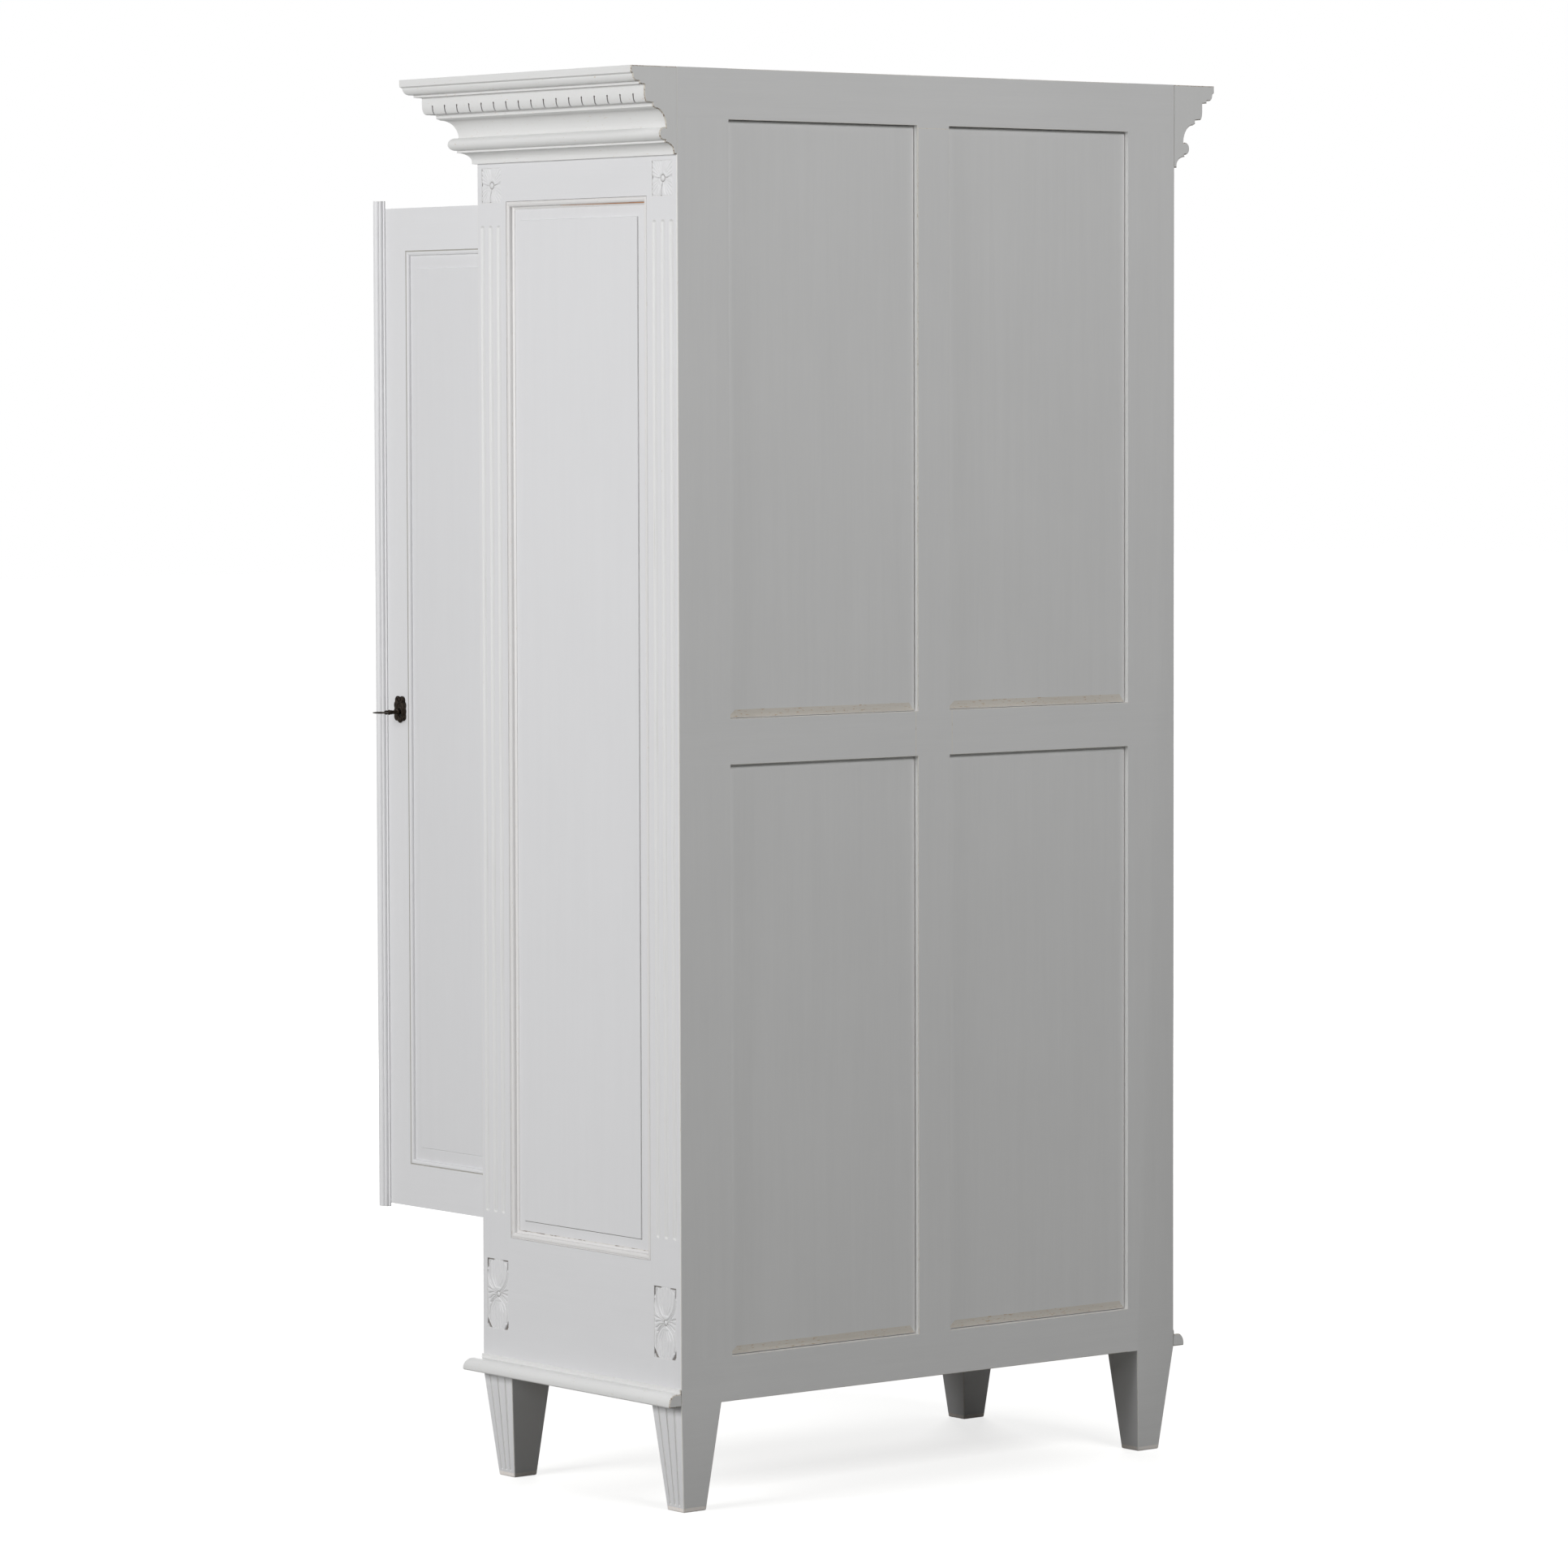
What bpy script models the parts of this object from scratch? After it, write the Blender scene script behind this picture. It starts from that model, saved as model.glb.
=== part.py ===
"""Painted two-door wardrobe with a dentilled cornice, fluted corner posts and tapered feet.

Metres, +Z up. The front faces -Y and the back +Y. The right-hand door (+X) stands open at a
right angle and the left-hand door is shut. The origin lies on the floor, in the middle of the
floor area that the wardrobe covers with that door open.
"""
import math

import bmesh
import bpy
from mathutils import Matrix, Vector

for old_object in list(bpy.data.objects):
    bpy.data.objects.remove(old_object, do_unlink=True)

# Case
HEIGHT = 1.950
WIDTH = 0.896
DEPTH = 0.451
FOOT_HEIGHT = 0.148
JOINT_GAP = 0.0003

# Corner posts, each one timber from the floor to the top
POST_ACROSS = 0.088
POST_ALONG = 0.0664
FOOT_ACROSS = 0.0696
FOOT_TAPER = 0.0154
FOOT_TENON = 0.004

# Flutes on the posts and feet
FLUTE_COUNT = 3
FLUTE_WIDTH = 0.0090
FLUTE_DEPTH = 0.0030
FLUTE_PITCH = 0.0186
FLUTE_CENTRE = 0.0310
FLUTE_TO_PANEL = 0.0370
FOOT_FLUTE_WIDTH = 0.0070
FOOT_FLUTE_DEPTH = 0.0022
FOOT_FLUTE_END = 0.0060

# Rosettes and plaques, each carved in a shallow recess
RECESS_DEPTH = 0.0025
CARVING_SINK = 0.0006
ROSETTE_CENTRE = 0.0326
ROSETTE_WIDTH = 0.0436
ROSETTE_HEIGHT = 0.0476
ROSETTE_BELOW_RAIL = 0.0010
ROSETTE_MARGIN = 0.0020
ROSETTE_PETALS = 8
PETAL_RISE = 0.0018
BUTTON_RISE = 0.0024
PLAQUE_CENTRE = 0.0350
PLAQUE_WIDTH = 0.0488
PLAQUE_HEIGHT = 0.0976
PLAQUE_BELOW_PANEL = 0.0329
PLAQUE_MARGIN = 0.0040
BUD_FROM_KNOT = 0.0042
BUD_TIP_MARGIN = 0.0028
BUD_EDGE_RISE = 0.0004
BUD_RISE = 0.0022

# End frames
END_RAIL_THICKNESS = 0.027
END_BOTTOM_RAIL = 0.1923
END_TOP_RAIL = 0.1703
MOULDING_WIDTH = 0.0110
MOULDING_DEPTH = 0.0075
PANEL_THICKNESS = 0.0080
PANEL_MARGIN = 0.0150
FIELD_RISE = 0.0022
FIELD_STEP = 0.0014
FIELD_STEP_RUN = 0.00056

# Back frame
BACK_RAIL_THICKNESS = 0.022
BACK_BOTTOM_RAIL = 0.0615
BACK_MIDDLE_RAIL_BASE = 1.0132
BACK_MIDDLE_RAIL = 0.0623
BACK_TOP_RAIL = 0.0685
BACK_MUNTIN_WIDTH = 0.0576
BACK_PANEL_RECESS = 0.0075
BACK_PANEL_MARGIN = 0.0110
BACK_PANEL_RISE = 0.0026
BACK_PANEL_GAP = 0.0006
BACK_PANEL_BORDER = 0.0005

# Front frame and doors
FRONT_RAIL_THICKNESS = 0.0255
DOOR_THICKNESS = 0.024
DOOR_BASE = 0.343
DOOR_BELOW_TOP = 0.169
DOOR_CLEARANCE = 0.003
DOOR_STILE = 0.0645
DOOR_RAIL = 0.0610
REBATE_LIP = 0.0080
DOOR_ANGLE = math.radians(90.0)

# Boards and fittings inside
BOARD_THICKNESS = 0.018
FLOOR_STOP = 0.008
ROOF_BOARD_BELOW_TOP = 0.034
SHELF_BELOW_TOP = 0.382
SHELF_SETBACK = 0.062
BATTEN_HEIGHT = 0.062
BATTEN_THICKNESS = 0.018
HANGING_ROD_RADIUS = 0.0125
HANGING_ROD_DROP = 0.036
SOCKET_WALL = 0.0072
SOCKET_LENGTH = 0.0140
SOCKET_FLANGE = 0.0030
SOCKET_FLANGE_OUT = 0.0050

# Cornice, each height measured down from the top and each reach out from the case
CORNICE_HEIGHT = 0.117
CORNICE_REACH = 0.077
FASCIA_HEIGHT = 0.0095
FASCIA_CHAMFER_IN = 0.0030
FASCIA_CHAMFER_DOWN = 0.0020
OVOLO_FOOT_REACH = 0.0670
OVOLO_FOOT_DROP = 0.0212
UPPER_FILLET_REACH = 0.0628
UPPER_FILLET_DROP = 0.0246
DENTIL_REACH = 0.0545
DENTIL_TOP_DROP = 0.0254
DENTIL_BELLY_DROP = 0.0370
DENTIL_BASE_DROP = 0.0486
DENTIL_ROUND = 0.0045
DENTIL_PITCH = 0.0285
DENTIL_SLIT = 0.0026
DENTIL_CUT = 0.0065
DENTIL_END_LEAST = 0.020
DENTIL_SLIT_TOP_DROP = 0.0365
DENTIL_SLIT_BELOW = 0.0004
FILLET_REACH = 0.0405
FILLET_TOP_DROP = 0.0494
FILLET_BASE_DROP = 0.0539
COVE_REACH = 0.0360
COVE_TOP_DROP = 0.0564
COVE_FOOT_REACH = 0.0182
COVE_FOOT_DROP = 0.0814
ROUND_REACH = 0.0205
ROUND_DROP = 0.0897
ROUND_RADIUS = 0.0088
OGEE_DROP = 0.1014
LIP_REACH = 0.0052
LIP_HEIGHT = 0.0035

# Base moulding
BASE_MOULDING_HEIGHT = 0.0235
BASE_MOULDING_REACH = 0.0205
BASE_FILLET_REACH = 0.0015
BASE_FILLET_HEIGHT = 0.0061
BASE_LEDGE = 0.0072
BASE_ROUND_DROP = 0.0205
BASE_EDGE_IN = 0.0010
BASE_EDGE_UP = 0.0015

# Hinges
HINGE_LENGTH = 0.070
HINGE_INSET = 0.170
HINGE_PIN_OUT = 0.0045
HINGE_PIN_RADIUS = 0.0018
HINGE_BARREL_RADIUS = 0.0040
HINGE_LEAF_WIDTH = 0.0180
HINGE_LEAF_THICKNESS = 0.0011
HINGE_KNUCKLES = 5
HINGE_RUNNING_GAP = 0.0004

# Astragal on the opening door
ASTRAGAL_WIDTH = 0.028
ASTRAGAL_OVERHANG = 0.012
ASTRAGAL_HEIGHT = 0.0085
ASTRAGAL_ABOVE = 0.011
ASTRAGAL_BELOW = 0.005
ASTRAGAL_CLEARANCE = 0.0005

# Lock, key and escutcheon
KEY_HEIGHT = 1.0575
KEY_SETBACK = 0.040
KEY_SHANK_RADIUS = 0.0028
KEY_COLLAR_RADIUS = 0.0042
KEY_COLLAR_LENGTH = 0.0025
KEY_COLLAR_FROM_BOW = 0.0005
KEY_COLLAR_SPACING = 0.0045
KEY_COLLAR_FROM_DOOR = 0.0045
KEYHOLE_RADIUS = 0.0036
KEYHOLE_DROP = 0.0110
KEYHOLE_SIDE_GAP = 0.0005
KEY_REACH = 0.046
KEY_BOW_RADIUS = 0.0085
KEY_BOW_STRETCH = 1.35
KEY_BOW_WIRE = 0.0020
KEY_BOW_FLATNESS = 0.80
KEY_BOW_STEPS = 20
KEY_BIT_LENGTH = 0.0090
KEY_BIT_DEPTH = 0.0060
KEY_BIT_THICKNESS = 0.0024
KEY_BIT_FROM_TIP = 0.0005
KEY_TIP_GAP = 0.0015
ESCUTCHEON_RISE = 0.004
ESCUTCHEON_THICKNESS = 0.0016
ESCUTCHEON_MIDDLE_RADIUS = 0.0118
ESCUTCHEON_TOP_RADIUS = 0.0068
ESCUTCHEON_TOP_SPREAD = 0.0072
ESCUTCHEON_FOOT_RADIUS = 0.0052
ESCUTCHEON_FOOT_SPREAD = 0.0092
ESCUTCHEON_LOBE_OUT = 0.0128
ESCUTCHEON_TIP_OUT = 0.0142
ESCUTCHEON_TIP_RADIUS = 0.0056
ESCUTCHEON_POINTS = 48
LOCK_WIDTH = 0.058
LOCK_ABOVE = 0.026
LOCK_BELOW = 0.020
LOCK_DEPTH = 0.0140
LOCK_WALL = 0.0015
LOCK_EDGE = 0.0025
BOLT_HEIGHT = 0.0090
BOLT_DEPTH = 0.0048
BOLT_LENGTH = 0.0400
BOLT_TRAVEL = 0.0120
BOLT_ABOVE_KEY = 0.0105
BOLT_FROM_DOOR = 0.0030
BOLT_PROUD = 0.0005
BOLT_GAP = 0.0004
KEEPER_WALL = 0.0020
KEEPER_MARGIN = 0.0060
KEEPER_SPARE = 0.0020

# Slide bolts inside the shut door
SLIDE_SETBACK = 0.022
SLIDE_RADIUS = 0.0032
SLIDE_LENGTH = 0.105
SLIDE_TRAVEL = 0.014
SLIDE_PLATE_WIDTH = 0.024
SLIDE_PLATE_HEIGHT = 0.062
SLIDE_PLATE_THICKNESS = 0.0015
SLIDE_PLATE_SETBACK = 0.012
SLIDE_GUIDE_HEIGHT = 0.008
SLIDE_GUIDE_INSET = 0.004
SLIDE_GUIDE_WALL = 0.0024
SLIDE_RUNNING_GAP = 0.0004
SLIDE_PLATE_GAP = 0.0002
SLIDE_KNOB_RADIUS = 0.0030
SLIDE_KNOB_LENGTH = 0.0090
SLIDE_KNOB_GAP = 0.0010
SLIDE_TOP_TIP = 0.0020
SLIDE_BOTTOM_TIP = 0.0080
SLIDE_NOTCH_GAP = 0.0012

# Places that follow from the sizes above
OPENING_WIDTH = WIDTH - 2 * POST_ACROSS
PIN_X = OPENING_WIDTH / 2 - DOOR_CLEARANCE / 2
DOOR_WIDTH = PIN_X - DOOR_CLEARANCE
DOOR_EDGE_X = -DOOR_CLEARANCE / 2
DOOR_FREE_X = DOOR_EDGE_X - DOOR_WIDTH
DOOR_REACH = HINGE_PIN_OUT - DOOR_FREE_X + ASTRAGAL_OVERHANG
BACK_Y = (DEPTH + DOOR_REACH) / 2
FRONT_Y = BACK_Y - DEPTH
PIN_Y = FRONT_Y - HINGE_PIN_OUT
CENTRE_Y = (FRONT_Y + BACK_Y) / 2
END_OPENING_HALF = DEPTH / 2 - POST_ALONG
END_OPENING_BASE = FOOT_HEIGHT + END_BOTTOM_RAIL
END_OPENING_TOP = HEIGHT - END_TOP_RAIL
ROSETTE_BASE = END_OPENING_TOP - ROSETTE_BELOW_RAIL
PLAQUE_BASE = END_OPENING_BASE - PLAQUE_BELOW_PANEL - PLAQUE_HEIGHT
BACK_BOTTOM_RAIL_TOP = FOOT_HEIGHT + BACK_BOTTOM_RAIL
BACK_MIDDLE_RAIL_TOP = BACK_MIDDLE_RAIL_BASE + BACK_MIDDLE_RAIL
BACK_TOP_RAIL_BASE = HEIGHT - BACK_TOP_RAIL
DOOR_TOP = HEIGHT - DOOR_BELOW_TOP
DOOR_FACE = HINGE_PIN_OUT
DOOR_INSIDE = DOOR_FACE + DOOR_THICKNESS
FRONT_RAIL_LOW_TOP = DOOR_BASE - DOOR_CLEARANCE
FRONT_RAIL_HIGH_BASE = DOOR_TOP + DOOR_CLEARANCE
FLOOR_TOP = FRONT_RAIL_LOW_TOP + FLOOR_STOP
ROOF_BOARD_BASE = HEIGHT - ROOF_BOARD_BELOW_TOP - BOARD_THICKNESS
SHELF_BASE = HEIGHT - SHELF_BELOW_TOP
SOCKET_RADIUS = HANGING_ROD_RADIUS + JOINT_GAP + SOCKET_WALL
SOCKET_FLANGE_RADIUS = SOCKET_RADIUS + SOCKET_FLANGE_OUT
DENTIL_TOP = HEIGHT - DENTIL_TOP_DROP
DENTIL_BASE = HEIGHT - DENTIL_BASE_DROP
BASE_MOULDING_TOP = FOOT_HEIGHT + BASE_MOULDING_HEIGHT
KEY_X = DOOR_FREE_X + KEY_SETBACK
KEEPER_LENGTH = BOLT_TRAVEL + KEEPER_SPARE + KEEPER_WALL
MITRE_SHARE = 0.75
EPSILON = 0.001


def make_material(name, colour, roughness, metallic=0.0):
    material = bpy.data.materials.new(name)
    material.use_nodes = True
    shader = material.node_tree.nodes["Principled BSDF"]
    shader.inputs["Base Color"].default_value = (*colour, 1.0)
    shader.inputs["Roughness"].default_value = roughness
    shader.inputs["Metallic"].default_value = metallic
    return material


OFF_WHITE_PAINT = make_material("off_white_paint", (0.745, 0.745, 0.760), 0.45)
CREAM_WORN_PAINT = make_material("cream_worn_paint", (0.760, 0.745, 0.715), 0.50)
GREY_BACK_PAINT = make_material("grey_back_paint", (0.640, 0.640, 0.640), 0.55)
BARE_PINE = make_material("bare_pine", (0.560, 0.400, 0.250), 0.60)
BEECH_ROD = make_material("beech_rod", (0.600, 0.440, 0.290), 0.45)
DARK_IRON = make_material("dark_iron", (0.030, 0.026, 0.022), 0.50, 0.85)
BRASS = make_material("aged_brass", (0.460, 0.330, 0.140), 0.38, 1.0)
STEEL = make_material("dull_steel", (0.420, 0.410, 0.400), 0.42, 1.0)


def finish(name, bm, material, parent=None, location=(0.0, 0.0, 0.0)):
    """Turn a bmesh into a named object with its faces pointing out."""
    bmesh.ops.recalc_face_normals(bm, faces=bm.faces)
    mesh = bpy.data.meshes.new(name)
    bm.to_mesh(mesh)
    bm.free()
    mesh.materials.append(material)
    obj = bpy.data.objects.new(name, mesh)
    bpy.context.scene.collection.objects.link(obj)
    obj.parent = parent
    obj.location = location
    return obj


def smooth(obj, angle=35.0):
    obj.data.shade_smooth()
    obj.data.set_sharp_from_angle(angle=math.radians(angle))


def mirrored(source, name, parent=None):
    """The opposite-handed copy of a piece, for the left-hand side."""
    mesh = source.data.copy()
    mesh.transform(Matrix.Scale(-1.0, 4, (1.0, 0.0, 0.0)))
    mesh.flip_normals()
    obj = bpy.data.objects.new(name, mesh)
    bpy.context.scene.collection.objects.link(obj)
    obj.parent = parent
    obj.location = (-source.location.x, source.location.y, source.location.z)
    return obj


def combine(obj, tool, operation):
    """Cut a tool from a piece, or join it on, and drop the tool."""
    modifier = obj.modifiers.new(operation.lower(), "BOOLEAN")
    modifier.operation = operation
    modifier.solver = "EXACT"
    modifier.object = tool
    graph = bpy.context.evaluated_depsgraph_get()
    mesh = bpy.data.meshes.new_from_object(obj.evaluated_get(graph))
    obj.modifiers.clear()
    obj.data = mesh
    bpy.data.objects.remove(tool, do_unlink=True)


def add_box(bm, low, high):
    low = Vector(low)
    high = Vector(high)
    verts = bmesh.ops.create_cube(bm, size=1.0)["verts"]
    bmesh.ops.scale(bm, vec=high - low, verts=verts)
    bmesh.ops.translate(bm, vec=(low + high) / 2, verts=verts)
    return verts


def add_prism(bm, outline, shift):
    """An outline of 3-D points, closed by a cap and extruded by a vector."""
    cap = bm.faces.new([bm.verts.new(point) for point in outline])
    grown = bmesh.ops.extrude_face_region(bm, geom=[cap])["geom"]
    moved = [item for item in grown if isinstance(item, bmesh.types.BMVert)]
    bmesh.ops.translate(bm, vec=shift, verts=moved)


def add_loft(bm, rings, closed=False):
    """Faces between rings of matching points, capped unless the rings close on themselves."""
    loops = [[bm.verts.new(point) for point in ring] for ring in rings]
    count = len(loops[0])
    pairs = list(zip(loops, loops[1:]))
    if closed:
        pairs.append((loops[-1], loops[0]))
    for first, second in pairs:
        for i in range(count):
            j = (i + 1) % count
            bm.faces.new((first[i], first[j], second[j], second[i]))
    if not closed:
        bm.faces.new(loops[0])
        bm.faces.new(loops[-1])


def add_rod(bm, start, end, radius, sides=12, end_radius=None):
    """A cylinder, or a cone where its far end has a radius of its own."""
    start = Vector(start)
    end = Vector(end)
    axis = end - start
    turn = axis.to_track_quat("Z", "Y").to_matrix().to_4x4()
    matrix = Matrix.Translation((start + end) / 2) @ turn
    far = radius if end_radius is None else end_radius
    bmesh.ops.create_cone(bm, cap_ends=True, segments=sides, radius1=radius, radius2=far,
                          depth=axis.length, matrix=matrix)


def box_piece(name, low, high, material, parent=None):
    bm = bmesh.new()
    add_box(bm, low, high)
    return finish(name, bm, material, parent)


def arc(centre, radius, first, last, steps):
    """Points of an arc in a profile's plane, angles in degrees."""
    points = []
    for i in range(steps + 1):
        angle = math.radians(first + (last - first) * i / steps)
        points.append((centre[0] + radius * math.cos(angle), centre[1] + radius * math.sin(angle)))
    return points


def quarter(start, end, down_first, steps):
    """A quarter of an ellipse between two profile points, setting off downwards or level."""
    points = []
    for i in range(1, steps + 1):
        angle = math.pi / 2 * i / steps
        if down_first:
            u = 1.0 - math.cos(angle)
            v = math.sin(angle)
        else:
            u = math.sin(angle)
            v = 1.0 - math.cos(angle)
        points.append((start[0] + (end[0] - start[0]) * u, start[1] + (end[1] - start[1]) * v))
    return points


# Carving

def add_flute(bm, start, end, outward, width, depth):
    """A round-ended bar that cuts one flute: its axis stands just clear of the face."""
    start = Vector(start)
    end = Vector(end)
    outward = Vector(outward).normalized()
    along = (end - start).normalized()
    side = outward.cross(along)
    radius = (width * width / 4 + depth * depth) / (2 * depth)
    lift = outward * (radius - depth)
    half_angle = math.asin(width / 2 / radius)
    ends = ((start, -1.0), (end, 1.0))
    rings = []
    for point, way in ends:
        for scale, shift in ((0.55, width * 0.42), (1.0, 0.0)):
            ring = []
            for k in range(5):
                angle = half_angle * 1.25 * (k - 2) / 2
                reach = radius - depth * (1.0 - scale)
                spot = side * math.sin(angle) * radius * scale - outward * math.cos(angle) * reach
                ring.append(point + lift + spot + along * way * shift)
            ring.append(point + outward * depth + side * width * 0.8 * scale + along * way * shift)
            ring.append(point + outward * depth - side * width * 0.8 * scale + along * way * shift)
            rings.append(ring)
    ordered = [rings[0], rings[1], rings[3], rings[2]]
    add_loft(bm, ordered)


def add_rosette(bm, centre, outward, up, width, height):
    """A raised flower: a button in the middle and petals that reach into the corners."""
    outward = Vector(outward)
    up = Vector(up)
    side = up.cross(outward)
    centre = Vector(centre)
    count = ROSETTE_PETALS * 2
    rings = []
    petal = ((1.0, -CARVING_SINK), (0.92, PETAL_RISE * 0.33), (0.55, PETAL_RISE), (0.30, PETAL_RISE * 0.22))
    for share, rise in petal:
        ring = []
        for i in range(count):
            angle = 2 * math.pi * i / count
            corner = 1.0 if i % 2 == 0 else 0.80
            lift = rise if i % 2 == 0 or rise < 0 else rise * 0.35
            spot = side * math.cos(angle) * width / 2 * share * corner
            spot = spot + up * math.sin(angle) * height / 2 * share * corner
            ring.append(centre + spot + outward * lift)
        rings.append(ring)
    button = ((0.22, PETAL_RISE * 0.22), (0.20, BUTTON_RISE * 0.75), (0.10, BUTTON_RISE))
    for share, rise in button:
        ring = []
        for i in range(count):
            angle = 2 * math.pi * i / count
            spot = side * math.cos(angle) * width / 2 * share + up * math.sin(angle) * width / 2 * share
            ring.append(centre + spot + outward * rise)
        rings.append(ring)
    add_loft(bm, rings)


def add_bud(bm, foot, outward, up, length, width):
    """One tulip bud in low relief, narrow at the foot and full above, with a ridge up its middle."""
    outward = Vector(outward)
    up = Vector(up)
    side = up.cross(outward)
    foot = Vector(foot)
    steps = 6
    rings = []
    for i in range(steps + 1):
        t = i / steps
        half = width / 2 * math.sin(math.pi * min(0.12 + 0.76 * t, 0.88)) ** 0.7
        rise = BUD_RISE * (0.36 + 0.64 * math.sin(math.pi * (0.1 + 0.8 * t)))
        spine = foot + up * length * t
        ring = []
        for share, lift in ((-1.0, -CARVING_SINK), (-1.0, BUD_EDGE_RISE), (-0.55, rise), (-0.25, rise * 0.6),
                            (0.0, rise), (0.25, rise * 0.6), (0.55, rise), (1.0, BUD_EDGE_RISE),
                            (1.0, -CARVING_SINK)):
            ring.append(spine + side * half * share + outward * lift)
        rings.append(ring)
    add_loft(bm, rings)


def carve_face(cuts, raised, corner, across, outward, flute_middle, rosette_middle, plaque_middle):
    """Flutes, rosette recess and plaque recess of one face of a post.

    The corner is the post's outer edge at floor level and across points from it over the face.
    """
    corner = Vector(corner)
    across = Vector(across)
    outward = Vector(outward)
    up = Vector((0.0, 0.0, 1.0))
    low = END_OPENING_BASE + FLUTE_TO_PANEL
    high = END_OPENING_TOP - FLUTE_TO_PANEL
    for k in range(FLUTE_COUNT):
        offset = flute_middle + (k - (FLUTE_COUNT - 1) / 2) * FLUTE_PITCH
        base = corner + across * offset
        add_flute(cuts, base + up * low, base + up * high, outward, FLUTE_WIDTH, FLUTE_DEPTH)
    spots = ((rosette_middle, ROSETTE_WIDTH, ROSETTE_HEIGHT, ROSETTE_BASE),
             (plaque_middle, PLAQUE_WIDTH, PLAQUE_HEIGHT, PLAQUE_BASE))
    for middle, width, height, base_height in spots:
        near = corner + across * (middle - width / 2) + up * base_height
        outline = [near, near + across * width, near + across * width + up * height, near + up * height]
        sunk = [point - outward * RECESS_DEPTH for point in outline]
        add_prism(cuts, sunk, outward * (RECESS_DEPTH + EPSILON))
    centre = corner + across * rosette_middle + up * (ROSETTE_BASE + ROSETTE_HEIGHT / 2)
    floor_shift = -outward * RECESS_DEPTH
    add_rosette(raised, centre + floor_shift, outward, up,
                ROSETTE_WIDTH - 2 * ROSETTE_MARGIN, ROSETTE_HEIGHT - 2 * ROSETTE_MARGIN)
    knot = corner + across * plaque_middle + up * (PLAQUE_BASE + PLAQUE_HEIGHT / 2) + floor_shift
    bud_length = PLAQUE_HEIGHT / 2 - BUD_FROM_KNOT - BUD_TIP_MARGIN
    for way in (1.0, -1.0):
        add_bud(raised, knot + up * way * BUD_FROM_KNOT, outward, up * way, bud_length,
                PLAQUE_WIDTH - 2 * PLAQUE_MARGIN)


# Corner posts

def foot_solid(bm, low_x, high_x, low_y, high_y):
    top = FOOT_HEIGHT + FOOT_TENON
    rings = []
    for height, taper in ((0.0, FOOT_TAPER), (FOOT_HEIGHT, 0.0), (top, EPSILON)):
        rings.append([(low_x + taper, low_y + taper, height), (high_x - taper, low_y + taper, height),
                      (high_x - taper, high_y - taper, height), (low_x + taper, high_y - taper, height)])
    add_loft(bm, rings)


def foot_flutes(cuts, corner, across, outward, width):
    """Flutes on one outer face of a foot, drawing together as the foot tapers."""
    corner = Vector(corner)
    across = Vector(across)
    outward = Vector(outward)
    up = Vector((0.0, 0.0, 1.0))
    high = FOOT_HEIGHT + FOOT_FLUTE_END
    low = FOOT_FLUTE_END
    slope = FOOT_TAPER / FOOT_HEIGHT
    normal = (outward - up * slope).normalized()
    for k in range(FLUTE_COUNT):
        share = (k - (FLUTE_COUNT - 1) / 2) * FLUTE_PITCH / FOOT_ACROSS
        ends = []
        for height in (low, high):
            taper = slope * (FOOT_HEIGHT - height)
            offset = width / 2 + share * (width - 2 * taper)
            ends.append(corner + across * offset - outward * taper + up * height)
        add_flute(cuts, ends[0], ends[1], normal, FOOT_FLUTE_WIDTH, FOOT_FLUTE_DEPTH)


def build_post(name, at_front):
    """A right-hand corner post. Its end face is carved, and at the front its front face too."""
    outer_x = WIDTH / 2
    inner_x = outer_x - POST_ACROSS
    if at_front:
        outer_y, inward = FRONT_Y, 1.0
    else:
        outer_y, inward = BACK_Y, -1.0
    inner_y = outer_y + inward * POST_ALONG
    low_y, high_y = min(outer_y, inner_y), max(outer_y, inner_y)
    bm = bmesh.new()
    add_box(bm, (inner_x, low_y, FOOT_HEIGHT), (outer_x, high_y, HEIGHT))
    post = finish(name, bm, OFF_WHITE_PAINT)
    bm = bmesh.new()
    foot_solid(bm, outer_x - FOOT_ACROSS, outer_x, low_y, high_y)
    combine(post, finish("foot", bm, OFF_WHITE_PAINT), "UNION")
    cuts = bmesh.new()
    raised = bmesh.new()
    corner = (outer_x, outer_y, 0.0)
    carve_face(cuts, raised, corner, (0.0, inward, 0.0), (1.0, 0.0, 0.0),
               FLUTE_CENTRE, ROSETTE_CENTRE, PLAQUE_CENTRE)
    foot_flutes(cuts, corner, (0.0, inward, 0.0), (1.0, 0.0, 0.0), POST_ALONG)
    if at_front:
        middle = POST_ACROSS / 2
        carve_face(cuts, raised, corner, (-1.0, 0.0, 0.0), (0.0, -1.0, 0.0), middle, middle, middle)
        foot_flutes(cuts, corner, (-1.0, 0.0, 0.0), (0.0, -1.0, 0.0), FOOT_ACROSS)
    combine(post, finish("cuts", cuts, OFF_WHITE_PAINT), "DIFFERENCE")
    combine(post, finish("raised", raised, OFF_WHITE_PAINT), "UNION")
    return post


# Panels and frames, drawn facing -Y with the outer face at y = 0

def moulding_profile(start):
    """Stuck moulding from the frame's face down to the panel: quirk, flat bead, steep fall, fillet."""
    w = MOULDING_WIDTH
    d = MOULDING_DEPTH
    return [(start, 0.0), (start + w * 0.08, d * 0.16), (start + w * 0.17, d * 0.03),
            (start + w * 0.36, 0.0), (start + w * 0.55, d * 0.09), (start + w * 0.64, d * 0.26),
            (start + w * 0.70, d * 0.70), (start + w, d * 0.93), (start + w, d)]


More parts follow.
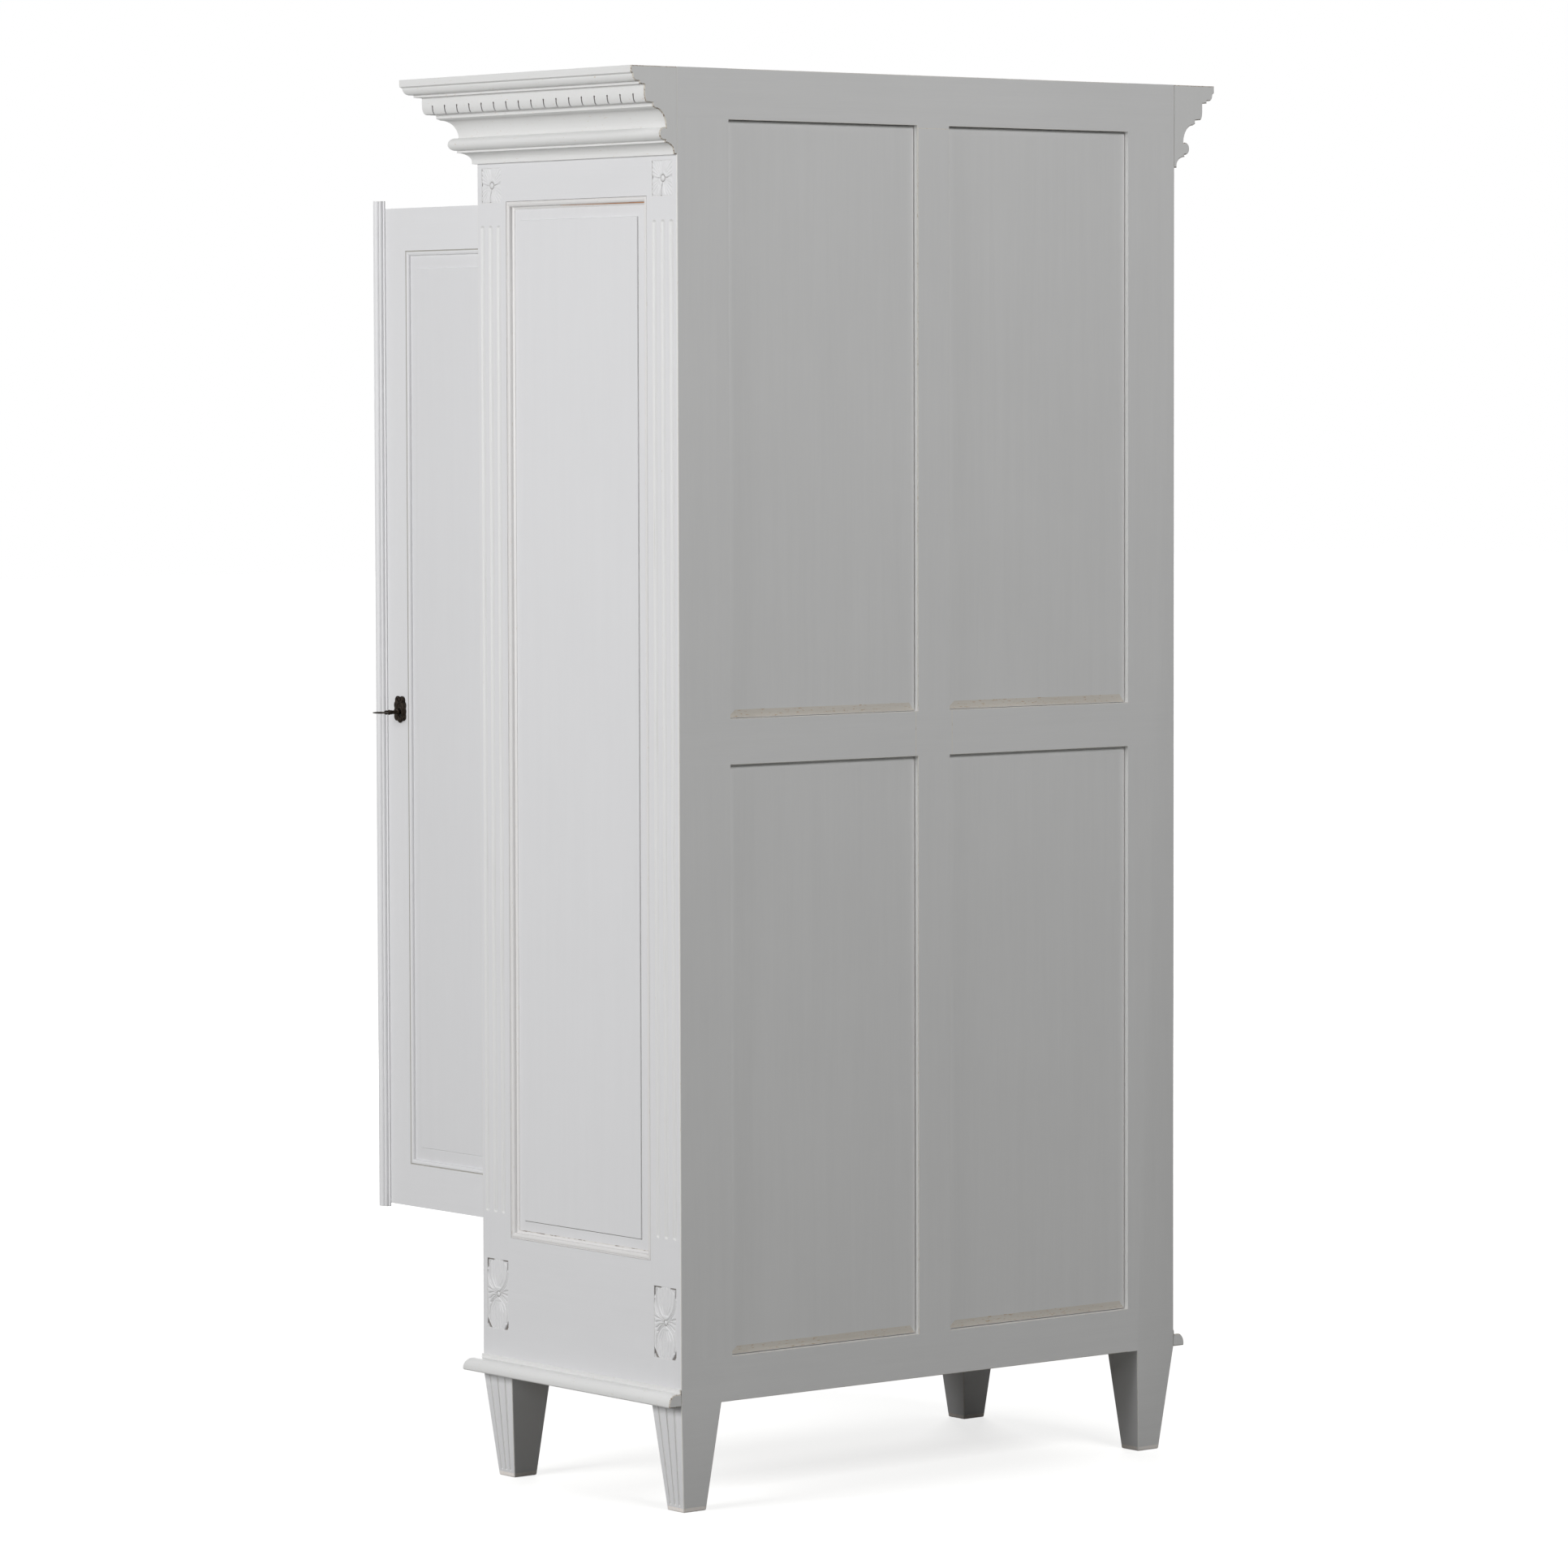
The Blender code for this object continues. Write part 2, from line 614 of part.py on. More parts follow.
def ring_frame(bm, half_width, base, top, section, rail_offset=0.0):
    """Sweep a section round a rectangle with mitred corners.

    The section's points are (distance in from the outer edge, depth). Past the first point the
    rails' distances are shorter by rail_offset, so that stiles and rails may differ in width.
    """
    rings = []
    for sign_x, edge_z, way_z in ((-1, base, 1), (1, base, 1), (1, top, -1), (-1, top, -1)):
        ring = []
        for inset, depth in section:
            inset_z = max(inset - rail_offset, 0.0)
            ring.append((sign_x * (half_width - inset), depth, edge_z + way_z * inset_z))
        rings.append(ring)
    add_loft(bm, rings, closed=True)


def raised_panel(bm, half_width, base, top, face, thickness, lip, margin, rise, step):
    """A fielded panel: flat border under the lip, bevel, small step, and flat field."""
    add_box(bm, (-half_width, face, base), (half_width, face + thickness, top))
    bm.faces.ensure_lookup_table()
    bm.normal_update()
    front = min(bm.faces, key=lambda item: item.calc_center_median().y)
    bmesh.ops.inset_region(bm, faces=[front], thickness=lip, depth=0.0, use_even_offset=True)
    bmesh.ops.inset_region(bm, faces=[front], thickness=margin, depth=0.0, use_even_offset=True)
    bmesh.ops.translate(bm, vec=(0.0, -rise, 0.0), verts=front.verts)
    if step > 0.0:
        bmesh.ops.inset_region(bm, faces=[front], thickness=FIELD_STEP_RUN, depth=0.0, use_even_offset=True)
        bmesh.ops.translate(bm, vec=(0.0, -step, 0.0), verts=front.verts)


def face_matrix(side):
    """Place a piece drawn facing -Y on the front, right end or back of the case."""
    turns = {"front": (0.0, (0.0, FRONT_Y, 0.0)),
             "right": (90.0, (WIDTH / 2, CENTRE_Y, 0.0)),
             "back": (180.0, (0.0, BACK_Y, 0.0))}
    degrees, place = turns[side]
    return Matrix.Translation(place) @ Matrix.Rotation(math.radians(degrees), 4, "Z")


def finish_on(name, bm, material, side):
    bmesh.ops.transform(bm, matrix=face_matrix(side), verts=bm.verts)
    return finish(name, bm, material)


def rail_on(name, side, low_x, high_x, low_z, high_z, thickness, material):
    bm = bmesh.new()
    add_box(bm, (low_x, 0.0, low_z), (high_x, thickness, high_z))
    return finish_on(name, bm, material, side)


def build_end():
    """Rails, moulding and panel of the right end, and their left-hand copies."""
    half = END_OPENING_HALF - JOINT_GAP
    pieces = [rail_on("end_rail_bottom_right", "right", -half, half, FOOT_HEIGHT, END_OPENING_BASE,
                      END_RAIL_THICKNESS, OFF_WHITE_PAINT),
              rail_on("end_rail_top_right", "right", -half, half, END_OPENING_TOP, HEIGHT,
                      END_RAIL_THICKNESS, OFF_WHITE_PAINT)]
    base = END_OPENING_BASE + JOINT_GAP
    top = END_OPENING_TOP - JOINT_GAP
    bm = bmesh.new()
    ring_frame(bm, half, base, top, moulding_profile(0.0) + [(0.0, MOULDING_DEPTH)])
    pieces.append(finish_on("end_moulding_right", bm, CREAM_WORN_PAINT, "right"))
    bm = bmesh.new()
    raised_panel(bm, half, base, top, MOULDING_DEPTH + JOINT_GAP, PANEL_THICKNESS, MOULDING_WIDTH,
                 PANEL_MARGIN, FIELD_RISE, FIELD_STEP)
    pieces.append(finish_on("end_panel_right", bm, OFF_WHITE_PAINT, "right"))
    for piece in pieces:
        mirrored(piece, piece.name.replace("right", "left"))


def build_back():
    """Back frame of three rails and two muntins, with four bevelled panels behind its edges."""
    half = OPENING_WIDTH / 2 - JOINT_GAP
    rails = (("back_rail_bottom", FOOT_HEIGHT, BACK_BOTTOM_RAIL_TOP),
             ("back_rail_middle", BACK_MIDDLE_RAIL_BASE, BACK_MIDDLE_RAIL_TOP),
             ("back_rail_top", BACK_TOP_RAIL_BASE, HEIGHT))
    for name, low, high in rails:
        rail_on(name, "back", -half, half, low, high, BACK_RAIL_THICKNESS, GREY_BACK_PAINT)
    bays = (("lower", BACK_BOTTOM_RAIL_TOP, BACK_MIDDLE_RAIL_BASE),
            ("upper", BACK_MIDDLE_RAIL_TOP, BACK_TOP_RAIL_BASE))
    for bay, low, high in bays:
        rail_on("back_muntin_" + bay, "back", -BACK_MUNTIN_WIDTH / 2, BACK_MUNTIN_WIDTH / 2,
                low + JOINT_GAP, high - JOINT_GAP, BACK_RAIL_THICKNESS, GREY_BACK_PAINT)
        inner = BACK_MUNTIN_WIDTH / 2 + BACK_PANEL_GAP
        outer = OPENING_WIDTH / 2 - BACK_PANEL_GAP
        for hand, middle in (("right", -(inner + outer) / 2), ("left", (inner + outer) / 2)):
            bm = bmesh.new()
            raised_panel(bm, (outer - inner) / 2, low + BACK_PANEL_GAP, high - BACK_PANEL_GAP,
                         BACK_PANEL_RECESS, PANEL_THICKNESS, BACK_PANEL_BORDER, BACK_PANEL_MARGIN,
                         BACK_PANEL_RISE, 0.0)
            bmesh.ops.translate(bm, vec=(middle, 0.0, 0.0), verts=bm.verts)
            finish_on("back_panel_" + bay + "_" + hand, bm, GREY_BACK_PAINT, "back")


def build_front():
    half = OPENING_WIDTH / 2 - JOINT_GAP
    rail_on("front_rail_bottom", "front", -half, half, FOOT_HEIGHT, FRONT_RAIL_LOW_TOP,
            FRONT_RAIL_THICKNESS, OFF_WHITE_PAINT)
    rail_on("front_rail_top", "front", -half, half, FRONT_RAIL_HIGH_BASE, HEIGHT,
            FRONT_RAIL_THICKNESS, OFF_WHITE_PAINT)


# Boards inside the case

def notched_board(name, base, material):
    """A board that fills the case between its rails, notched round the four posts."""
    x_wide = WIDTH / 2 - END_RAIL_THICKNESS - JOINT_GAP
    x_narrow = OPENING_WIDTH / 2 - JOINT_GAP
    y_front = FRONT_Y + FRONT_RAIL_THICKNESS + JOINT_GAP
    y_back = BACK_Y - BACK_RAIL_THICKNESS - JOINT_GAP
    y_notch_front = FRONT_Y + POST_ALONG + JOINT_GAP
    y_notch_back = BACK_Y - POST_ALONG - JOINT_GAP
    half = [(x_narrow, y_front), (x_narrow, y_notch_front), (x_wide, y_notch_front),
            (x_wide, y_notch_back), (x_narrow, y_notch_back), (x_narrow, y_back)]
    outline = half + [(-x, y) for x, y in reversed(half)]
    bm = bmesh.new()
    add_prism(bm, [(x, y, base) for x, y in outline], (0.0, 0.0, BOARD_THICKNESS))
    return finish(name, bm, material)


def build_inside():
    floor = notched_board("floor_board", FLOOR_TOP - BOARD_THICKNESS, BARE_PINE)
    slide_x, slide_y = slide_axis()
    reach = SLIDE_RADIUS + SLIDE_NOTCH_GAP
    bm = bmesh.new()
    add_box(bm, (slide_x - reach, FRONT_Y, FLOOR_TOP - BOARD_THICKNESS - EPSILON),
            (slide_x + reach, slide_y + reach, FLOOR_TOP + EPSILON))
    combine(floor, finish("bolt_notch", bm, BARE_PINE), "DIFFERENCE")
    notched_board("roof_board", ROOF_BOARD_BASE, BARE_PINE)

    front = FRONT_Y + SHELF_SETBACK
    back = BACK_Y - BACK_RAIL_THICKNESS - JOINT_GAP
    half = OPENING_WIDTH / 2 - JOINT_GAP
    box_piece("hat_shelf", (-half, front, SHELF_BASE), (half, back, SHELF_BASE + BOARD_THICKNESS),
              BARE_PINE)
    batten_face = half - BATTEN_THICKNESS
    batten = box_piece("shelf_batten_right", (batten_face, front, SHELF_BASE - JOINT_GAP - BATTEN_HEIGHT),
                       (half, back, SHELF_BASE - JOINT_GAP), BARE_PINE)
    mirrored(batten, "shelf_batten_left")

    rod_y = CENTRE_Y
    rod_z = SHELF_BASE - HANGING_ROD_DROP
    seat = batten_face - JOINT_GAP
    bm = bmesh.new()
    add_rod(bm, (seat - SOCKET_FLANGE, rod_y, rod_z), (seat, rod_y, rod_z), SOCKET_FLANGE_RADIUS, 20)
    socket = finish("rod_socket_right", bm, BRASS)
    bm = bmesh.new()
    add_rod(bm, (seat - SOCKET_LENGTH, rod_y, rod_z), (seat - EPSILON, rod_y, rod_z), SOCKET_RADIUS, 20)
    combine(socket, finish("socket_cup", bm, BRASS), "UNION")
    bm = bmesh.new()
    bore = HANGING_ROD_RADIUS + JOINT_GAP
    mouth = seat - SOCKET_LENGTH - EPSILON
    add_rod(bm, (mouth, rod_y, rod_z), (seat - SOCKET_FLANGE, rod_y, rod_z), bore, 20)
    combine(socket, finish("socket_bore", bm, BRASS), "DIFFERENCE")
    smooth(socket)
    mirrored(socket, "rod_socket_left")
    reach = seat - SOCKET_FLANGE - JOINT_GAP
    bm = bmesh.new()
    add_rod(bm, (-reach, rod_y, rod_z), (reach, rod_y, rod_z), HANGING_ROD_RADIUS, 20)
    smooth(finish("hanging_rod", bm, BEECH_ROD))


# Cornice and base moulding

def cornice_profile():
    """(reach, height) points from the top edge down to the case."""
    chamfer_drop = FASCIA_HEIGHT + FASCIA_CHAMFER_DOWN
    points = [(CORNICE_REACH, HEIGHT), (CORNICE_REACH, HEIGHT - FASCIA_HEIGHT)]
    points.append((CORNICE_REACH - FASCIA_CHAMFER_IN, HEIGHT - chamfer_drop))
    points += quarter(points[-1], (OVOLO_FOOT_REACH, HEIGHT - OVOLO_FOOT_DROP), True, 4)
    points.append((UPPER_FILLET_REACH, HEIGHT - OVOLO_FOOT_DROP))
    points.append((UPPER_FILLET_REACH, HEIGHT - UPPER_FILLET_DROP))
    points.append((DENTIL_REACH, DENTIL_TOP))
    points.append((DENTIL_REACH, HEIGHT - DENTIL_BELLY_DROP))
    points += quarter(points[-1], (DENTIL_REACH - DENTIL_ROUND, DENTIL_BASE), True, 2)
    points += [(FILLET_REACH, HEIGHT - FILLET_TOP_DROP), (FILLET_REACH, HEIGHT - FILLET_BASE_DROP)]
    points.append((COVE_REACH, HEIGHT - COVE_TOP_DROP))
    points += quarter(points[-1], (COVE_FOOT_REACH, HEIGHT - COVE_FOOT_DROP), False, 5)
    points += arc((ROUND_REACH, HEIGHT - ROUND_DROP), ROUND_RADIUS, 95.0, -95.0, 6)
    points.append((ROUND_REACH, HEIGHT - OGEE_DROP))
    foot = HEIGHT - CORNICE_HEIGHT
    points += quarter(points[-1], (LIP_REACH, foot + LIP_HEIGHT), False, 4)
    points += [(LIP_REACH, foot), (JOINT_GAP, foot), (JOINT_GAP, HEIGHT)]
    return points


def base_profile():
    """(reach, height) points of the base moulding: shallow fillet, ledge and a bold round."""
    ledge_height = BASE_MOULDING_TOP - BASE_FILLET_HEIGHT
    points = [(JOINT_GAP, BASE_MOULDING_TOP), (BASE_FILLET_REACH, BASE_MOULDING_TOP)]
    points.append((BASE_FILLET_REACH, ledge_height))
    points.append((BASE_FILLET_REACH + BASE_LEDGE, ledge_height))
    points += quarter(points[-1], (BASE_MOULDING_REACH, BASE_MOULDING_TOP - BASE_ROUND_DROP), False, 4)
    points.append((BASE_MOULDING_REACH, FOOT_HEIGHT + BASE_EDGE_UP))
    points.append((BASE_MOULDING_REACH - BASE_EDGE_IN, FOOT_HEIGHT))
    points.append((JOINT_GAP, FOOT_HEIGHT))
    return points


def mitred_front(bm, profile):
    relief = JOINT_GAP * MITRE_SHARE
    rings = []
    for way in (-1.0, 1.0):
        rings.append([(way * (WIDTH / 2 + reach - relief), FRONT_Y - reach, height)
                      for reach, height in profile])
    add_loft(bm, rings)


def mitred_side(bm, profile):
    relief = JOINT_GAP * MITRE_SHARE
    front_end = [(WIDTH / 2 + reach, FRONT_Y - reach + relief, height) for reach, height in profile]
    back_end = [(WIDTH / 2 + reach, BACK_Y, height) for reach, height in profile]
    add_loft(bm, [front_end, back_end])


def dentil_slits(length):
    """Distances of the slits between the blocks, from one end of the band."""
    spaces = int((length - 2 * DENTIL_END_LEAST) / DENTIL_PITCH)
    first = (length - spaces * DENTIL_PITCH) / 2
    return [first + k * DENTIL_PITCH for k in range(spaces + 1)]


def build_cornice():
    profile = cornice_profile()
    low = DENTIL_BASE - DENTIL_SLIT_BELOW
    high = HEIGHT - DENTIL_SLIT_TOP_DROP
    near = DENTIL_REACH - DENTIL_CUT
    far = CORNICE_REACH + EPSILON
    bm = bmesh.new()
    mitred_front(bm, profile)
    front = finish("cornice_front", bm, CREAM_WORN_PAINT)
    bm = bmesh.new()
    start = -(WIDTH / 2 + DENTIL_REACH)
    for place in dentil_slits(WIDTH + 2 * DENTIL_REACH):
        low_x = start + place - DENTIL_SLIT / 2
        add_box(bm, (low_x, FRONT_Y - far, low), (low_x + DENTIL_SLIT, FRONT_Y - near, high))
    combine(front, finish("slits", bm, CREAM_WORN_PAINT), "DIFFERENCE")
    bm = bmesh.new()
    mitred_side(bm, profile)
    side = finish("cornice_right", bm, CREAM_WORN_PAINT)
    bm = bmesh.new()
    for place in dentil_slits(DEPTH + DENTIL_REACH):
        low_y = BACK_Y - place - DENTIL_SLIT / 2
        add_box(bm, (WIDTH / 2 + near, low_y, low), (WIDTH / 2 + far, low_y + DENTIL_SLIT, high))
    combine(side, finish("slits", bm, CREAM_WORN_PAINT), "DIFFERENCE")
    mirrored(side, "cornice_left")


def build_base_moulding():
    profile = base_profile()
    bm = bmesh.new()
    mitred_front(bm, profile)
    finish("base_moulding_front", bm, CREAM_WORN_PAINT)
    bm = bmesh.new()
    mitred_side(bm, profile)
    side = finish("base_moulding_right", bm, CREAM_WORN_PAINT)
    mirrored(side, "base_moulding_left")


# Doors, drawn shut with the hinge pin's axis at x = 0, y = 0

def axis_empty(name, x, angle):
    empty = bpy.data.objects.new(name, None)
    bpy.context.scene.collection.objects.link(empty)
    empty.location = (x, PIN_Y, 0.0)
    empty.rotation_euler = (0.0, 0.0, angle)
    return empty


def door_frame(name, parent):
    """Stiles and rails with the moulding worked on their inner edge and a rebate behind it."""
    middle = DOOR_EDGE_X - DOOR_WIDTH / 2
    section = [(0.0, 0.0)] + moulding_profile(DOOR_STILE)
    rebate = DOOR_STILE + MOULDING_WIDTH - REBATE_LIP
    section += [(rebate, MOULDING_DEPTH), (rebate, DOOR_THICKNESS), (0.0, DOOR_THICKNESS)]
    bm = bmesh.new()
    ring_frame(bm, DOOR_WIDTH / 2, DOOR_BASE, DOOR_TOP, section, DOOR_STILE - DOOR_RAIL)
    bmesh.ops.translate(bm, vec=(middle, DOOR_FACE, 0.0), verts=bm.verts)
    return finish(name, bm, OFF_WHITE_PAINT, parent)


def door_panel(name, parent):
    middle = DOOR_EDGE_X - DOOR_WIDTH / 2
    rebate = DOOR_STILE + MOULDING_WIDTH - REBATE_LIP + JOINT_GAP
    half = DOOR_WIDTH / 2 - rebate
    inset = rebate - (DOOR_STILE - DOOR_RAIL)
    bm = bmesh.new()
    raised_panel(bm, half, DOOR_BASE + inset, DOOR_TOP - inset, MOULDING_DEPTH + JOINT_GAP,
                 PANEL_THICKNESS, REBATE_LIP - JOINT_GAP, PANEL_MARGIN, FIELD_RISE, FIELD_STEP)
    bmesh.ops.translate(bm, vec=(middle, DOOR_FACE, 0.0), verts=bm.verts)
    return finish(name, bm, OFF_WHITE_PAINT, parent)


def keyhole_tool(name, near, far):
    """The round hole and the slot below it, as one cutter."""
    bm = bmesh.new()
    add_rod(bm, (KEY_X, near, KEY_HEIGHT), (KEY_X, far, KEY_HEIGHT), KEYHOLE_RADIUS, 12)
    hole = finish(name, bm, DARK_IRON)
    bm = bmesh.new()
    half = KEY_BIT_THICKNESS / 2 + KEYHOLE_SIDE_GAP
    add_box(bm, (KEY_X - half, near, KEY_HEIGHT - KEYHOLE_DROP), (KEY_X + half, far, KEY_HEIGHT))
    combine(hole, finish("slot", bm, DARK_IRON), "UNION")
    return hole


def hinge_leaves(index, middle, post_parent, door_parent):
    """A butt hinge: the post's leaf keeps the pin, the door's leaf turns on it."""
    low = middle - HINGE_LENGTH / 2
    pitch = HINGE_LENGTH / HINGE_KNUCKLES
    plate_near = HINGE_BARREL_RADIUS + HINGE_RUNNING_GAP
    plate_far = HINGE_PIN_OUT + HINGE_LEAF_WIDTH
    leaf_near = DOOR_CLEARANCE / 2 - JOINT_GAP - HINGE_LEAF_THICKNESS
    leaf_far = DOOR_CLEARANCE / 2 - JOINT_GAP
    leaves = []
    for kind, way, first in (("post", 1.0, 0), ("door", -1.0, 1)):
        x_low = min(way * leaf_near, way * leaf_far)
        x_high = max(way * leaf_near, way * leaf_far)
        bm = bmesh.new()
        add_box(bm, (x_low, plate_near, low), (x_high, plate_far, low + HINGE_LENGTH))
        for k in range(first, HINGE_KNUCKLES, 2):
            base = low + k * pitch + HINGE_RUNNING_GAP / 2
            top = low + (k + 1) * pitch - HINGE_RUNNING_GAP / 2
            add_box(bm, (x_low, 0.0, base), (x_high, plate_near + EPSILON, top))
            add_rod(bm, (0.0, 0.0, base), (0.0, 0.0, top), HINGE_BARREL_RADIUS, 12)
        parts = finish("parts", bm, STEEL)
        leaf = join_shells("hinge_" + kind + "_leaf_right_" + str(index), parts)
        if kind == "door":
            bm = bmesh.new()
            bore = HINGE_PIN_RADIUS + HINGE_RUNNING_GAP
            add_rod(bm, (0.0, 0.0, low), (0.0, 0.0, low + HINGE_LENGTH), bore, 12)
            combine(leaf, finish("bore", bm, STEEL), "DIFFERENCE")
            leaf.parent = door_parent
        else:
            bm = bmesh.new()
            add_rod(bm, (0.0, 0.0, low + EPSILON), (0.0, 0.0, low + HINGE_LENGTH - EPSILON),
                    HINGE_PIN_RADIUS, 12)
            combine(leaf, finish("pin", bm, STEEL), "UNION")
            leaf.parent = post_parent
        smooth(leaf)
        leaves.append(leaf)
    return leaves


def join_shells(name, parts):
    """Unite the overlapping closed shells of one mesh into a single body."""
    bm = bmesh.new()
    bm.from_mesh(parts.data)
    material = parts.data.materials[0]
    shells = []
    left = set(bm.faces)
    while left:
        stack = [left.pop()]
        shell = set(stack)
        while stack:
            face = stack.pop()
            for edge in face.edges:
                for other in edge.link_faces:
                    if other in left:
                        left.remove(other)
                        shell.add(other)
                        stack.append(other)
        shells.append(sorted(shell, key=lambda item: item.index))
    shells.sort(key=lambda shell: shell[0].index)
    solids = []
    for shell in shells:
        part = bmesh.new()
        lookup = {}
        for face in shell:
            corners = []
            for vert in face.verts:
                if vert.index not in lookup:
                    lookup[vert.index] = part.verts.new(vert.co)
                corners.append(lookup[vert.index])
            part.faces.new(corners)
        solids.append(finish("shell", part, material))
    bm.free()
    bpy.data.objects.remove(parts, do_unlink=True)
    body = solids[0]
    for other in solids[1:]:
        combine(body, other, "UNION")
    body.name = name
    body.data.name = name
    return body


def build_astragal(parent):
    """Beaded strip down the meeting edge: a broad round, a quirk and a small bead."""
    outer = DOOR_FREE_X - ASTRAGAL_OVERHANG
    w = ASTRAGAL_WIDTH
    h = ASTRAGAL_HEIGHT
    section = [(0.0, 0.0), (0.0, h * 0.40)]
    for k in range(1, 6):
        angle = math.pi * k / 6
        section.append((w * 0.29 * (1.0 - math.cos(angle)), h * (0.40 + 0.60 * math.sin(angle))))
    section += [(w * 0.58, h * 0.40), (w * 0.61, h * 0.40)]
    for k in range(0, 5):
        angle = math.pi * k / 4
        section.append((w * (0.755 - 0.135 * math.cos(angle)), h * (0.42 + 0.36 * math.sin(angle))))
    section += [(w * 0.90, h * 0.28), (w, h * 0.28), (w, 0.0)]
    face = DOOR_FACE - ASTRAGAL_CLEARANCE
    base = DOOR_BASE - ASTRAGAL_BELOW
    bm = bmesh.new()
    add_prism(bm, [(outer + s, face - rise, base) for s, rise in section],
              (0.0, 0.0, DOOR_TOP + ASTRAGAL_ABOVE - base))
    return finish("astragal", bm, OFF_WHITE_PAINT, parent)


def lobed_outline(lobes, count):
    """Points round overlapping circles, each the farthest that any circle reaches that way."""
    points = []
    for i in range(count):
        angle = 2 * math.pi * i / count
        way = Vector((math.cos(angle), math.sin(angle)))
        reach = 0.0
        for x, z, radius in lobes:
            along = way.dot(Vector((x, z)))
            inside = radius * radius - (x * x + z * z - along * along)
            if inside > 0.0:
                reach = max(reach, along + math.sqrt(inside))
        points.append(way * reach)
    return points


def build_escutcheon(parent):
    """Cast plate with two lobes above and three below, pierced by the keyhole."""
    back = DOOR_FACE - JOINT_GAP
    front = back - ESCUTCHEON_THICKNESS
    middle_z = KEY_HEIGHT + ESCUTCHEON_RISE
    lobes = [(0.0, 0.0, ESCUTCHEON_MIDDLE_RADIUS), (0.0, -ESCUTCHEON_TIP_OUT, ESCUTCHEON_TIP_RADIUS)]
    for way in (-1.0, 1.0):
        lobes.append((way * ESCUTCHEON_TOP_SPREAD, ESCUTCHEON_LOBE_OUT, ESCUTCHEON_TOP_RADIUS))
        lobes.append((way * ESCUTCHEON_FOOT_SPREAD, -ESCUTCHEON_LOBE_OUT, ESCUTCHEON_FOOT_RADIUS))
    bm = bmesh.new()
    edge = lobed_outline(lobes, ESCUTCHEON_POINTS)
    outline = [(KEY_X + point.x, back, middle_z + point.y) for point in edge]
    add_prism(bm, outline, (0.0, front - back, 0.0))
    plate = finish("escutcheon", bm, DARK_IRON)
    combine(plate, keyhole_tool("keyhole", front - EPSILON, back + EPSILON), "DIFFERENCE")
    plate.parent = parent
    return plate


def build_key(parent):
    """Key in the lock, its bow level: shank, collars, ring bow and bit."""
    outer = DOOR_FACE - KEY_REACH
    inner = DOOR_INSIDE + LOCK_DEPTH - LOCK_WALL - KEY_TIP_GAP
    bow_middle = outer + KEY_BOW_RADIUS + KEY_BOW_WIRE
    shank_start = bow_middle + KEY_BOW_RADIUS
    bm = bmesh.new()
    add_rod(bm, (0.0, shank_start, 0.0), (0.0, inner, 0.0), KEY_SHANK_RADIUS, 12)
    first_collar = shank_start + KEY_COLLAR_FROM_BOW
    door_collar = DOOR_FACE - KEY_COLLAR_FROM_DOOR - KEY_COLLAR_LENGTH
    for near in (first_collar, first_collar + KEY_COLLAR_SPACING, door_collar):
        add_rod(bm, (0.0, near, 0.0), (0.0, near + KEY_COLLAR_LENGTH, 0.0), KEY_COLLAR_RADIUS, 12)
    half = KEY_BIT_THICKNESS / 2
    bit_end = inner - KEY_BIT_FROM_TIP
    add_box(bm, (0.0, bit_end - KEY_BIT_DEPTH, -half), (KEY_BIT_LENGTH, bit_end, half))
    rings = []
    sides = 8
    for i in range(KEY_BOW_STEPS):
        turn = 2 * math.pi * i / KEY_BOW_STEPS
        ring = []
        for k in range(sides):
            roll = 2 * math.pi * (k + 0.5) / sides
            reach = 1.0 + KEY_BOW_WIRE * math.cos(roll) / KEY_BOW_RADIUS
            ring.append((KEY_BOW_RADIUS * KEY_BOW_STRETCH * math.cos(turn) * reach,
                         bow_middle + KEY_BOW_RADIUS * math.sin(turn) * reach,
                         KEY_BOW_WIRE * KEY_BOW_FLATNESS * math.sin(roll)))
        rings.append(ring)
    add_loft(bm, rings, closed=True)
    key = join_shells("key", finish("key_parts", bm, DARK_IRON))
    key.parent = parent
    key.location = (KEY_X, 0.0, KEY_HEIGHT)
    smooth(key)
    return key


def build_lock(parent):
    """Rim lock on the door's inside: an open-backed case, and the bolt that leaves its edge."""
    x_edge = DOOR_FREE_X + LOCK_EDGE
    back = DOOR_INSIDE + JOINT_GAP
    low = (x_edge, back, KEY_HEIGHT - LOCK_BELOW)
    high = (x_edge + LOCK_WIDTH, back + LOCK_DEPTH, KEY_HEIGHT + LOCK_ABOVE)
    case = box_piece("lock_case", low, high, DARK_IRON, parent)
    wall = LOCK_WALL
    hollow = box_piece("hollow", (low[0] + wall, low[1] - EPSILON, low[2] + wall),
                       (high[0] - wall, high[1] - wall, high[2] - wall), DARK_IRON, parent)
    bolt_z = KEY_HEIGHT + BOLT_ABOVE_KEY
    bolt_y = back + BOLT_FROM_DOOR
    bolt_far = bolt_y + BOLT_DEPTH
    bolt_top = bolt_z + BOLT_HEIGHT
    tip = x_edge - BOLT_PROUD
    slot = box_piece("slot", (x_edge - EPSILON, bolt_y - BOLT_GAP, bolt_z - BOLT_GAP),
                     (x_edge + wall + EPSILON, bolt_far + BOLT_GAP, bolt_top + BOLT_GAP), DARK_IRON, parent)
    bpy.context.view_layer.update()
    combine(case, hollow, "DIFFERENCE")
    combine(case, slot, "DIFFERENCE")
    bolt = box_piece("lock_bolt", (0.0, bolt_y, bolt_z), (BOLT_LENGTH, bolt_far, bolt_top), BRASS, parent)
    bolt.location.x = tip
    return bolt_y, bolt_z


